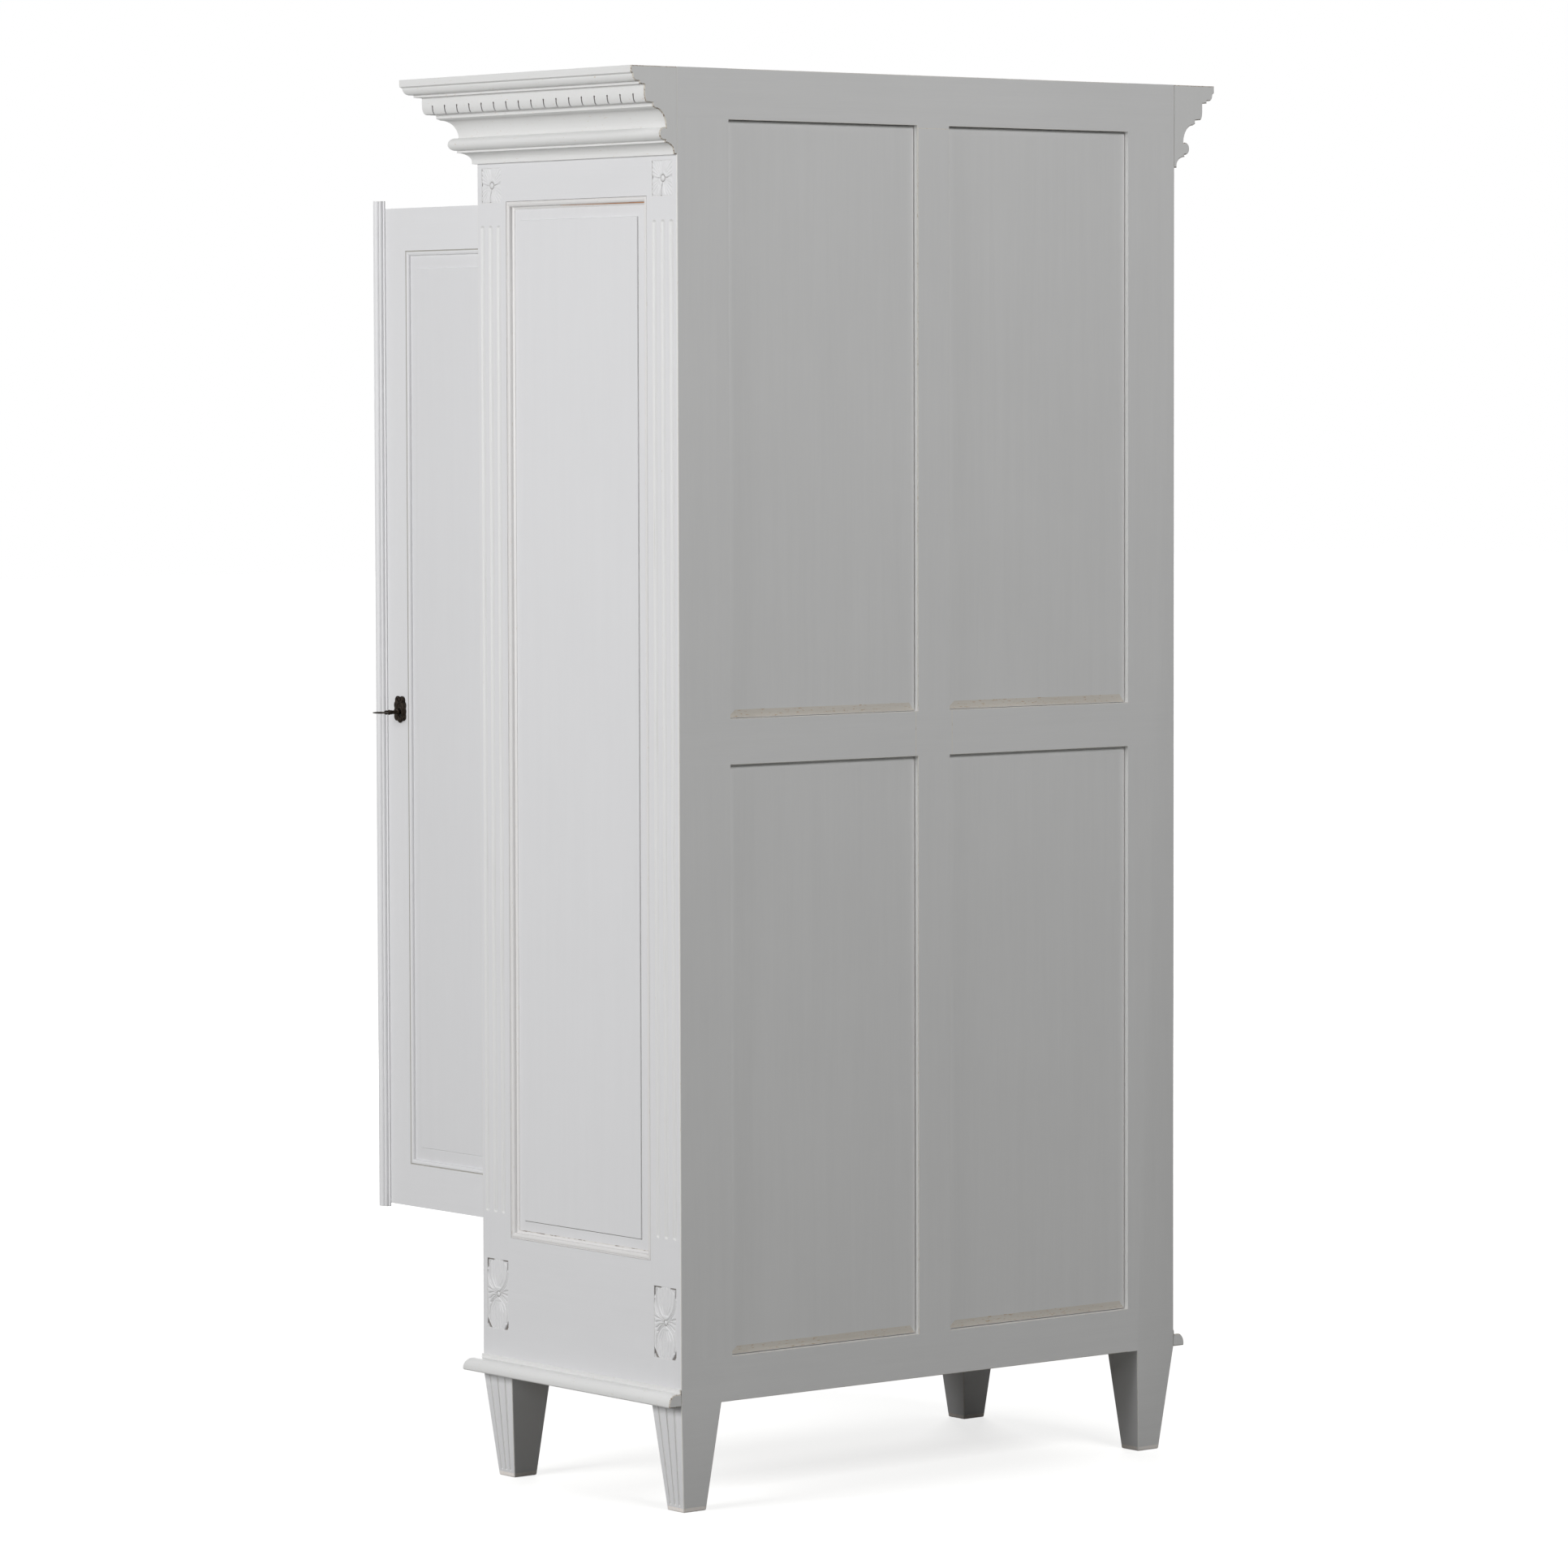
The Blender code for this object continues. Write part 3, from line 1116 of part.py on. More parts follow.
def build_keeper(parent, bolt_y, bolt_z):
    """Box keeper on the shut door's inside, open towards the lock, drawn in that door's own frame."""
    edge = -DOOR_FREE_X - DOOR_CLEARANCE / 2
    wall = KEEPER_WALL
    back = DOOR_INSIDE + JOINT_GAP
    low_z = bolt_z - BOLT_GAP - wall
    high_z = bolt_z + BOLT_HEIGHT + BOLT_GAP + wall
    keeper = box_piece("lock_keeper", (edge - KEEPER_LENGTH, back, low_z - KEEPER_MARGIN),
                       (edge, bolt_y + BOLT_DEPTH + BOLT_GAP + wall, high_z + KEEPER_MARGIN),
                       DARK_IRON, parent)
    pocket = box_piece("pocket", (edge - KEEPER_LENGTH + wall, bolt_y - BOLT_GAP, bolt_z - BOLT_GAP),
                       (edge + EPSILON, bolt_y + BOLT_DEPTH + BOLT_GAP, bolt_z + BOLT_HEIGHT + BOLT_GAP),
                       DARK_IRON, parent)
    bpy.context.view_layer.update()
    combine(keeper, pocket, "DIFFERENCE")
    return keeper


def slide_axis():
    """World place of the slide bolts' axis with the left-hand door shut."""
    x = -PIN_X + (-DOOR_FREE_X - SLIDE_SETBACK)
    y = PIN_Y + DOOR_INSIDE + JOINT_GAP + SLIDE_PLATE_THICKNESS + SLIDE_PLATE_GAP + SLIDE_RADIUS
    return x, y


def build_slide(name, parent, way, door_end):
    """A surface bolt: plate with two guides, and the rod with its knob that slides through them."""
    world_x, world_y = slide_axis()
    x = world_x + PIN_X
    y = world_y - PIN_Y
    back = DOOR_INSIDE + JOINT_GAP
    plate_end = door_end - way * SLIDE_PLATE_SETBACK
    plate_far = plate_end - way * SLIDE_PLATE_HEIGHT
    low, high = min(plate_end, plate_far), max(plate_end, plate_far)
    half = SLIDE_PLATE_WIDTH / 2
    bm = bmesh.new()
    add_box(bm, (x - half, back, low), (x + half, back + SLIDE_PLATE_THICKNESS, high))
    guide = SLIDE_RADIUS + SLIDE_GUIDE_WALL
    guide_from_end = SLIDE_GUIDE_INSET + SLIDE_GUIDE_HEIGHT / 2
    for centre in (low + guide_from_end, high - guide_from_end):
        add_box(bm, (x - guide, back + EPSILON / 2, centre - SLIDE_GUIDE_HEIGHT / 2),
                (x + guide, y + guide, centre + SLIDE_GUIDE_HEIGHT / 2))
    plate = join_shells(name + "_plate", finish("plate_parts", bm, DARK_IRON))
    bm = bmesh.new()
    add_rod(bm, (x, y, low - EPSILON), (x, y, high + EPSILON), SLIDE_RADIUS + SLIDE_RUNNING_GAP, 12)
    combine(plate, finish("guide_bore", bm, DARK_IRON), "DIFFERENCE")
    plate.parent = parent
    tip_back = SLIDE_TOP_TIP if way > 0 else SLIDE_BOTTOM_TIP
    tip = door_end - way * tip_back
    bm = bmesh.new()
    add_rod(bm, (0.0, 0.0, 0.0), (0.0, 0.0, -way * SLIDE_LENGTH), SLIDE_RADIUS, 12)
    guide_face = SLIDE_PLATE_SETBACK + SLIDE_GUIDE_INSET + SLIDE_GUIDE_HEIGHT
    knob = guide_face - tip_back + SLIDE_TRAVEL + SLIDE_KNOB_GAP + SLIDE_KNOB_RADIUS
    add_rod(bm, (0.0, 0.0, -way * knob), (0.0, SLIDE_RADIUS + SLIDE_KNOB_LENGTH, -way * knob),
            SLIDE_KNOB_RADIUS, 12)
    slide = join_shells(name + "_slide", finish("slide_parts", bm, STEEL))
    slide.parent = parent
    slide.location = (x, y, tip)
    smooth(slide)


def build_doors():
    right = axis_empty("door_right_axis", PIN_X, DOOR_ANGLE)
    left = axis_empty("door_left_axis", -PIN_X, 0.0)
    right_post = axis_empty("post_right_axis", PIN_X, 0.0)
    left_post = axis_empty("post_left_axis", -PIN_X, 0.0)

    frame = door_frame("door_frame_right", None)
    mirrored(frame, "door_frame_left", left)
    combine(frame, keyhole_tool("keyhole", DOOR_FACE - EPSILON, DOOR_INSIDE + EPSILON), "DIFFERENCE")
    frame.parent = right
    mirrored(door_panel("door_panel_right", right), "door_panel_left", left)
    heights = (DOOR_BASE + HINGE_INSET, DOOR_TOP - HINGE_INSET)
    for index, middle in enumerate(heights, start=1):
        post_leaf, door_leaf = hinge_leaves(index, middle, right_post, right)
        mirrored(post_leaf, post_leaf.name.replace("right", "left"), left_post)
        mirrored(door_leaf, door_leaf.name.replace("right", "left"), left)
    build_astragal(right)
    build_escutcheon(right)
    build_key(right)
    bolt_y, bolt_z = build_lock(right)
    build_keeper(left, bolt_y, bolt_z)
    build_slide("top_bolt", left, 1.0, DOOR_TOP)
    build_slide("bottom_bolt", left, -1.0, DOOR_BASE)


for post_name, post_at_front in (("post_front_right", True), ("post_back_right", False)):
    right_post_object = build_post(post_name, post_at_front)
    mirrored(right_post_object, post_name.replace("right", "left"))
build_end()
build_back()
build_front()
build_inside()
build_cornice()
build_base_moulding()
build_doors()
bpy.context.view_layer.update()
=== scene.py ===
"""Looks of the painted wardrobe: carved posts, panels, cornice, ironwork, light and camera."""

import math

import bpy
from mathutils import Matrix, Vector


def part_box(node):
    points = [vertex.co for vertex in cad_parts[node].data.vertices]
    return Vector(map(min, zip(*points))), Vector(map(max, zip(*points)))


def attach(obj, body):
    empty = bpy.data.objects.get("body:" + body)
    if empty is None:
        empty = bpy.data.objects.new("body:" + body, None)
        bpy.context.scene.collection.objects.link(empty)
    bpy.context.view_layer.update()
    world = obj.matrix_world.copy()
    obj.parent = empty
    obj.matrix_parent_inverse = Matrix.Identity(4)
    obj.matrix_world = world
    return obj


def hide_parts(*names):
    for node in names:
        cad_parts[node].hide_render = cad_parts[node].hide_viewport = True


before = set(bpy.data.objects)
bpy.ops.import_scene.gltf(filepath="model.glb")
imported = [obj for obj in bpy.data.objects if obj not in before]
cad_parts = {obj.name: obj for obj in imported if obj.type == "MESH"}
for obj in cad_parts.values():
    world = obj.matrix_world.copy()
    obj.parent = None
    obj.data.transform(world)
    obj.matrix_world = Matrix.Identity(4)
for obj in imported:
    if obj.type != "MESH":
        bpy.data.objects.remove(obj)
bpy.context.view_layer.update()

MM = 0.001

# Carved work on the posts, set out from a post's outer edge
FLUTE_COUNT = 3
FLUTE_WIDTH = 9.0 * MM
FLUTE_DEPTH = 1.7 * MM
FLUTE_PITCH = 18.6 * MM
FLUTE_CENTRE = 31.0 * MM
FLUTE_TO_PANEL = 37.0 * MM
FOOT_FLUTE_WIDTH = 5.6 * MM
FOOT_FLUTE_DEPTH = 2.0 * MM
FOOT_FLUTE_END = 6.0 * MM
FOOT_FLUTE_NARROWING = 0.72
FOOT_FLUTE_SHALLOWING = 0.8
RECESS_DEPTH = 2.5 * MM
ROSETTE_CENTRE = 32.6 * MM
ROSETTE_WIDTH = 43.6 * MM
ROSETTE_HEIGHT = 47.6 * MM
ROSETTE_BELOW_RAIL = 1.0 * MM
PLAQUE_CENTRE = 35.0 * MM
PLAQUE_WIDTH = 48.8 * MM
PLAQUE_HEIGHT = 97.6 * MM
PLAQUE_BELOW_PANEL = 32.9 * MM
POST_MIDDLE = 44.0 * MM
CARVING_GRID = 0.55 * MM
RIM_ARRIS = 0.2 * MM

# Feet
FOOT_HEIGHT = 148.0 * MM
FOOT_ACROSS = 69.6 * MM
FOOT_TAPER = 15.4 * MM
FOOT_TENON = 4.0 * MM
FOOT_TENON_SHARE = 0.96
SOLE_ARRIS = 1.6 * MM
SOLE_WORN = 6.0 * MM

# Arrises rounded by sanding and many coats of paint
POST_ARRIS = 1.3 * MM
RAIL_ARRIS = 0.8 * MM
FINE_ARRIS = 0.35 * MM
SAWN_RIM = 1.4 * MM
NEAR = 0.1 * MM

# Slack between a panel and its moulding, and the lips that the back's panels close against
PANEL_GAP = 0.28 * MM
DOOR_PANEL_RISE = 3.6 * MM
LOCK_STILE_LESS = 6.5 * MM
BACK_LIP = 4.0 * MM
BACK_RUBBED_ARRIS = 1.5 * MM
BACK_LIP_THICKNESS = 1.6 * MM
LOCK_STILE = 60.0 * MM
RAIL_GAP = 0.3 * MM

# Longer than any edge across a board
LONG = 100.0 * MM

# From an end panel's edge to its raised field
FIELD_INSET = 26.6 * MM

# The case's outer faces, and the reach and drop of its mouldings
HALF_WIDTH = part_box("post_back_right")[1].x
BACK_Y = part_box("post_back_right")[1].y
FRONT_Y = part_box("post_front_right")[0].y
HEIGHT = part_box("post_back_right")[1].z
PANEL_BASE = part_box("end_rail_bottom_right")[1].z
PANEL_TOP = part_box("end_rail_top_right")[0].z
CURVE_STEPS = 10
DENTIL_REACH = 54.5 * MM
DENTIL_BASE = HEIGHT - 48.6 * MM
DENTIL_PITCH = 28.5 * MM
DENTIL_SLIT = 2.2 * MM
DENTIL_SLIT_TOP = HEIGHT - 37.6 * MM
DENTIL_CUT = 6.5 * MM
DENTIL_DRILL = 1.6 * MM
DENTIL_END_LEAST = 20.0 * MM

RIGHTWARD = Vector((1.0, 0.0, 0.0))
BACKWARD = Vector((0.0, 1.0, 0.0))
UPWARD = Vector((0.0, 0.0, 1.0))


def deselect():
    bpy.ops.object.select_all(action="DESELECT")


def set_active(piece):
    deselect()
    piece.select_set(True)
    bpy.context.view_layer.objects.active = piece


def open_mesh(piece, kind=None, action="SELECT"):
    """Enter edit mode with all of a piece's faces or edges selected, or none of them."""
    set_active(piece)
    bpy.ops.object.mode_set(mode="EDIT")
    if kind:
        bpy.ops.mesh.select_mode(type=kind)
    bpy.ops.mesh.select_all(action=action)


def close_mesh():
    bpy.ops.object.mode_set(mode="OBJECT")


def named(piece, name):
    piece.name = name
    piece.data.name = name
    return piece


def settle(piece, name=None):
    """Put the piece's place and size in its mesh, its object at the origin."""
    set_active(piece)
    bpy.ops.object.transform_apply(location=True, rotation=True, scale=True)
    return named(piece, name) if name else piece


def apply_modifiers(piece):
    set_active(piece)
    for modifier in list(piece.modifiers):
        bpy.ops.object.modifier_apply(modifier=modifier.name)


def block(name, corner, opposite):
    """A cube primitive brought to two opposite corners."""
    low, high = (Vector(pick(pair) for pair in zip(corner, opposite)) for pick in (min, max))
    deselect()
    bpy.ops.mesh.primitive_cube_add(size=1.0, location=(low + high) / 2)
    piece = bpy.context.active_object
    piece.scale = high - low
    return settle(piece, name)


def rod(name, start, end, radius, sides=24, end_radius=None):
    """A cylinder between two points, or a cone where its far end has a radius of its own."""
    start = Vector(start)
    end = Vector(end)
    axis = end - start
    deselect()
    bpy.ops.mesh.primitive_cone_add(
        vertices=sides, radius1=radius, radius2=radius if end_radius is None else end_radius,
        depth=axis.length, location=(start + end) / 2, rotation=axis.to_track_quat("Z", "Y").to_euler())
    return settle(bpy.context.active_object, name)


def join(name, pieces):
    deselect()
    for piece in pieces:
        piece.select_set(True)
    bpy.context.view_layer.objects.active = pieces[0]
    bpy.ops.object.join()
    return named(pieces[0], name)


def combine(piece, tool, operation):
    """Cut a tool from a piece, or join it on, and drop the tool. New faces keep the tool's finish."""
    modifier = piece.modifiers.new(operation.lower(), "BOOLEAN")
    modifier.operation = operation
    modifier.solver = "EXACT"
    modifier.material_mode = "TRANSFER"
    modifier.object = tool
    apply_modifiers(piece)
    bpy.data.objects.remove(tool, do_unlink=True)
    return piece


def duplicate(piece, name):
    copy = piece.copy()
    copy.data = piece.data.copy()
    copy.name = name
    copy.data.name = name
    bpy.context.scene.collection.objects.link(copy)
    return copy


def mirrored(piece, name):
    """The opposite-handed copy, for the left-hand side."""
    copy = duplicate(piece, name)
    copy.scale = (-1.0, 1.0, 1.0)
    settle(copy)
    face_outward(copy)
    return copy


def face_outward(piece):
    open_mesh(piece)
    bpy.ops.mesh.normals_make_consistent(inside=False)
    close_mesh()


def smooth(piece, degrees):
    """Shade smooth below an angle, with the broad faces kept flat."""
    set_active(piece)
    bpy.ops.object.shade_smooth_by_angle(angle=math.radians(degrees))
    weighted = piece.modifiers.new("weighted", "WEIGHTED_NORMAL")
    weighted.keep_sharp = True
    apply_modifiers(piece)


def choose(piece, kind, test):
    """Select, in edit mode, the faces or edges that pass a test, and say whether there are any."""
    open_mesh(piece, kind, "DESELECT")
    close_mesh()
    found = False
    for part in piece.data.polygons if kind == "FACE" else piece.data.edges:
        part.select = test(part)
        found = found or part.select
    bpy.ops.object.mode_set(mode="EDIT")
    return found


def select_faces(piece, test):
    """The test takes a face's centre and normal."""
    return choose(piece, "FACE", lambda face: test(face.center, face.normal))


def slot_faces(piece, index, test):
    """Give the faces that pass a test another material slot."""
    for face in piece.data.polygons:
        if test(face.center, face.normal):
            face.material_index = index


def bevel_edges(piece, test, width, segments=2, material=-1):
    """Round chosen edges, their new faces in a material slot of their own. The test takes both ends."""
    if choose(piece, "EDGE", lambda edge: test(*(piece.data.vertices[i].co for i in edge.vertices))):
        bpy.ops.mesh.bevel(offset=width, segments=segments, affect="EDGES", material=material)
    close_mesh()


def cad_copy(node, name):
    """A copy of a CAD node's mesh, merged, with its flat faces made whole."""
    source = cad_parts[node]
    copy = bpy.data.objects.new(name, source.data.copy())
    copy.data.name = name
    copy.data.materials.clear()
    bpy.context.scene.collection.objects.link(copy)
    open_mesh(copy)
    bpy.ops.mesh.remove_doubles(threshold=0.00001)
    bpy.ops.mesh.dissolve_limited(angle_limit=math.radians(0.5))
    close_mesh()
    if copy.data.has_custom_normals:
        bpy.ops.mesh.customdata_custom_splitnormals_clear()
    return copy


def arris_modifier(piece, width, degrees, segments=2):
    """Round every edge sharper than an angle."""
    bevel = piece.modifiers.new("arris", "BEVEL")
    bevel.width = width
    bevel.segments = segments
    bevel.limit_method = "ANGLE"
    bevel.angle_limit = math.radians(degrees)
    bevel.use_clamp_overlap = True
    apply_modifiers(piece)


def paint_with(piece, *materials):
    piece.data.materials.clear()
    for material in materials:
        piece.data.materials.append(material)
    return piece


def hand_over(piece, *nodes, slot="off_white_paint", body="case"):
    """Let a finished piece ride on its body, in place of its CAD nodes. The slot argument is not used."""
    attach(piece, body)
    if nodes:
        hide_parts(*nodes)


def turned_to(piece, centre, up, outward):
    """Stand a piece that was drawn flat, facing up, on a face of the wardrobe."""
    up = Vector(up)
    outward = Vector(outward)
    turn = Matrix((up.cross(outward), up, outward)).transposed().to_4x4()
    piece.matrix_world = Matrix.Translation(centre) @ turn
    return settle(piece)


# Materials

def linear(hex_colour):
    """An sRGB hex colour as linear red, green, blue and alpha."""
    channels = []
    for i in (0, 2, 4):
        value = int(hex_colour[i:i + 2], 16) / 255.0
        channels.append(value / 12.92 if value <= 0.04045 else ((value + 0.055) / 1.055) ** 2.4)
    return (*channels, 1.0)


def add_node(material, kind, inputs=None, out=0, **settings):
    """Add a node with its settings, set or link its inputs, and give back one of its outputs."""
    tree = material.node_tree
    node = tree.nodes.new("ShaderNode" + kind)
    for key, value in settings.items():
        setattr(node, key, value)
    for key, value in (inputs or {}).items():
        if isinstance(value, bpy.types.NodeSocket):
            tree.links.new(value, node.inputs[key])
        else:
            node.inputs[key].default_value = value
    return node.outputs[out] if node.outputs else None


def new_material(name):
    material = bpy.data.materials.new(name)
    material.use_nodes = True
    return material


def finish_with(material, **values):
    """Set the Principled shader's numbers, and link what varies."""
    shader = material.node_tree.nodes["Principled BSDF"]
    for key, value in values.items():
        socket = shader.inputs[key.replace("_", " ")]
        if isinstance(value, bpy.types.NodeSocket):
            material.node_tree.links.new(value, socket)
        else:
            socket.default_value = value
    return material


STROKE = (1.8 * MM, 90.0 * MM)
BROAD_STROKE = (STROKE[0] * 7.0, STROKE[1] * 4.0)
BLOTCH = 160.0 * MM
CHIP = (1.6 * MM, 9.0 * MM)
PATCH = 6.0 * MM


def drawn_noise(material, place, axis, width, length, detail, **more):
    """Noise drawn out along one axis, as brush strokes and the grain of wood are."""
    scale = [1.0 / width] * 3
    scale["XYZ".index(axis)] = 1.0 / length
    drawn = add_node(material, "Mapping", {"Vector": place, "Scale": scale})
    return add_node(material, "TexNoise", {"Vector": drawn, "Scale": 1.0, "Detail": detail, **more})


def painted_wood(name, direction, paint="E7E7E9", shade="E1E1E3", streak=0.5, relief=0.12,
                 dust_and_shade=0.3, crevice=7.0 * MM, soil="8E8170", wear=0.0, worn="C9B9A4", chip=CHIP,
                 bands=None, band_axis="X", packed_grime_and_shade=None):
    """Satin off-white furniture paint on wood, brushed on by hand.

    The brush leaves long fine ridges and the coat is a little uneven. Quirks and hollows are darkened as
    dust and painted shade, and on the arrises the paint is rubbed to cream or through to the wood. Bands
    are heights where the strokes run along another axis, as on rails. Deepest cuts of carving are painted
    dark: grime and shade.
    """
    material = new_material(name)
    place = add_node(material, "TexCoord", out="Object")

    def strokes(axis, size, detail):
        return drawn_noise(material, place, axis, *size, detail, Roughness=0.6)

    fine = strokes(direction, STROKE, 3.0)
    broad = strokes(direction, BROAD_STROKE, 2.0)
    if bands:
        height = add_node(material, "SeparateXYZ", {"Vector": place}, "Z")
        inside = None
        for low, high in bands:
            band = add_node(material, "Math", {0: height, 1: (low + high) / 2, 2: (high - low) / 2},
                            operation="COMPARE")
            inside = band if inside is None else add_node(material, "Math", {0: inside, 1: band},
                                                          operation="MAXIMUM")
        fine_across = strokes(band_axis, STROKE, 3.0)
        broad_across = strokes(band_axis, BROAD_STROKE, 2.0)
        fine = add_node(material, "Mix", {0: inside, 2: fine, 3: fine_across})
        broad = add_node(material, "Mix", {0: inside, 2: broad, 3: broad_across})
    blotch = add_node(material, "TexNoise", {"Vector": place, "Scale": 1.0 / BLOTCH, "Detail": 3.0})
    mixed = add_node(material, "Math", {0: fine, 1: broad}, operation="ADD")
    uneven = add_node(material, "Math", {0: mixed, 1: blotch}, operation="ADD")
    spread = 0.55 / streak
    level = add_node(material, "MapRange",
                     {"Value": uneven, "From Min": 1.5 - spread, "From Max": 1.5 + spread})
    coats = [(level, paint)]
    # Painted shade and dust: ambient occlusion darkens creases and hollows towards a dull tone.
    if dust_and_shade > 0.0:
        hollow = add_node(material, "AmbientOcclusion", {"Distance": crevice}, "AO", samples=8)
        crease_shade = add_node(material, "MapRange",
                        {"Value": hollow, "From Min": 0.62, "From Max": 0.10, "To Max": dust_and_shade})
        coats.append((crease_shade, soil))
    if wear > 0.0:
        edge = 0.66 - 0.22 * wear
        bare = add_node(material, "MapRange", {"Value": strokes(direction, chip, 5.0), "From Min": edge,
                                               "From Max": edge + 0.08, "To Max": 0.85})
        coats.append((bare, worn))
    # Painted shade and packed grime: the deepest cuts of carving, as the relief records them, are painted
    # dark.
    if packed_grime_and_shade:
        coats.append((add_node(material, "Attribute", out="Fac", attribute_name="cut_depth"), packed_grime_and_shade))
    colour = linear(shade)
    for share, tone in coats:
        colour = add_node(material, "Mix", {0: share, 6: colour, 7: linear(tone)}, 2, data_type="RGBA")
    gloss = add_node(material, "MapRange",
                     {"Value": fine, "From Min": 0.3, "From Max": 0.7, "To Min": 0.40, "To Max": 0.54})
    ridges = add_node(material, "Bump", {"Height": mixed, "Strength": relief, "Distance": 0.25 * MM})
    return finish_with(material, Base_Color=colour, Roughness=gloss, Normal=ridges)


def plain_wood(name, direction, light, dark, roughness):
    """Oiled softwood or turned beech: long grain lines across a paler ground, with fine pores."""
    material = new_material(name)
    place = add_node(material, "TexCoord", out="Object")
    rings = drawn_noise(material, place, direction, 14.0 * MM, 420.0 * MM, 3.0, Distortion=0.6)
    waves = add_node(material, "Math", {0: rings, 1: 46.0}, operation="MULTIPLY")
    lines = add_node(material, "Math", {0: waves}, operation="SINE")
    pores = drawn_noise(material, place, direction, 0.9 * MM, 40.0 * MM, 4.0)
    both = add_node(material, "Math", {0: lines, 1: 0.30, 2: pores}, operation="MULTIPLY_ADD")
    level = add_node(material, "MapRange", {"Value": both, "From Min": 0.15, "From Max": 0.90})
    colour = add_node(material, "Mix", {0: level, 6: linear(light), 7: linear(dark)}, 2, data_type="RGBA")
    grain = add_node(material, "Bump", {"Height": pores, "Strength": 0.3, "Distance": 0.3 * MM})
    return finish_with(material, Base_Color=colour, Roughness=roughness, Normal=grain)


def old_metal(name, bright, dull, metallic, smooth_level, rough_level, grain):
    """Cast or rolled metal gone dull: the tarnish lies in patches over a fine grain."""
    material = new_material(name)
    place = add_node(material, "TexCoord", out="Object")
    patch = add_node(material, "TexNoise",
                     {"Vector": place, "Scale": 1.0 / PATCH, "Detail": 5.0, "Roughness": 0.65})
    level = add_node(material, "MapRange", {"Value": patch, "From Min": 0.35, "From Max": 0.68})
    colour = add_node(material, "Mix", {0: level, 6: linear(dull), 7: linear(bright)}, 2,
                      data_type="RGBA")
    gloss = add_node(material, "MapRange", {"Value": patch, "From Min": 0.3, "From Max": 0.7,
                                            "To Min": rough_level, "To Max": smooth_level})
    sand = add_node(material, "TexNoise", {"Vector": place, "Scale": 1.0 / grain, "Detail": 3.0})
    skin = add_node(material, "Bump", {"Height": sand, "Strength": 0.35, "Distance": 0.2 * MM})
    return finish_with(material, Base_Color=colour, Metallic=metallic, Roughness=gloss, Normal=skin)


# Heights between which the strokes run along the rails
BACK_RAIL_BANDS = [(0.0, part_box("back_rail_bottom")[1].z),
                   (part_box("back_rail_middle")[0].z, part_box("back_rail_middle")[1].z),
                   (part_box("back_rail_top")[0].z, HEIGHT)]
DOOR_RAIL_BANDS = [(0.0, 404.0 * MM), (1720.0 * MM, HEIGHT)]
MOULDING_BANDS = [(0.0, PANEL_BASE + 11.0 * MM), (PANEL_TOP - 11.0 * MM, HEIGHT)]

post_paint = painted_wood("brushed_paint_upright", "Z")
end_rail_paint = painted_wood("brushed_paint_end_rail", "Y")
front_rail_paint = painted_wood("brushed_paint_front_rail", "X")
panel_paint = painted_wood("brushed_paint_panel", "Z", relief=0.1)
# Painted light: the right door is a lighter copy of the same paint, for the light that falls on it.
lit_right_door_paint = painted_wood("brushed_paint_right_door", "Z", "EBEBED", "E6E6E8", dust_and_shade=0.1,
                                bands=DOOR_RAIL_BANDS, band_axis="Y")
left_door_paint = painted_wood("brushed_paint_left_door", "Z", bands=DOOR_RAIL_BANDS)
end_moulding_paint = painted_wood("worn_paint_on_end_moulding", "Z", "E8E7E7", "E1DFDE", wear=0.08,
                                  bands=MOULDING_BANDS, band_axis="Y")
astragal_paint = painted_wood("rubbed_paint_on_astragal", "Z", "F1F1F3", "EBEBED", dust_and_shade=0.1,
                              crevice=3.0 * MM)
# Painted shade: the door moulding's quirk is painted darker, for the shade that falls in it.
quirk_paint = painted_wood("dust_in_door_quirk", "Z", "C6C5C1", "B9B7B2")
# Painted highlight: paler paint for the slanting faces round the door panels' fields, where light catches
# them.
field_edge_highlight_paint = painted_wood("pale_paint_on_field_edges", "Z", "F6F6F8", "F0F0F2", dust_and_shade=0.0)
chipped_quirk_paint = painted_wood("paint_gone_along_quirk", "Z", dust_and_shade=0.2, wear=0.35, worn="9C7454",
                                   chip=(1.5 * MM, 14.0 * MM))
# Painted shade: near-black paint for the shade and grime in an open seam.
seam_shade_paint = painted_wood("open_seam_round_the_field", "Z", "4B463D", "332E27", wear=0.12, worn="A8A196")
dashed_paint = painted_wood("paint_gone_in_dashes", "Y", "E6E4E1", "DAD6D0", wear=0.72, worn="5E4632",
                            chip=(1.8 * MM, 12.0 * MM))
# The flutes are darkened in their hollows as dust and painted shade, and streaked with worn paint.
flute_paint = painted_wood("old_paint_in_flutes", "Z", "E5E5E6", "DFDFDF", dust_and_shade=0.7, crevice=2.2 * MM,
                           soil="7C766C", wear=0.2, worn="BDBAB5", chip=(1.0 * MM, 200.0 * MM))
arris_paint = painted_wood("worn_paint_on_arrises", "Z", "E9E8E6", "E0DEDB", wear=0.15)
carving_paint = painted_wood("thick_paint_on_carving", "Z", dust_and_shade=0.45, wear=0.1)
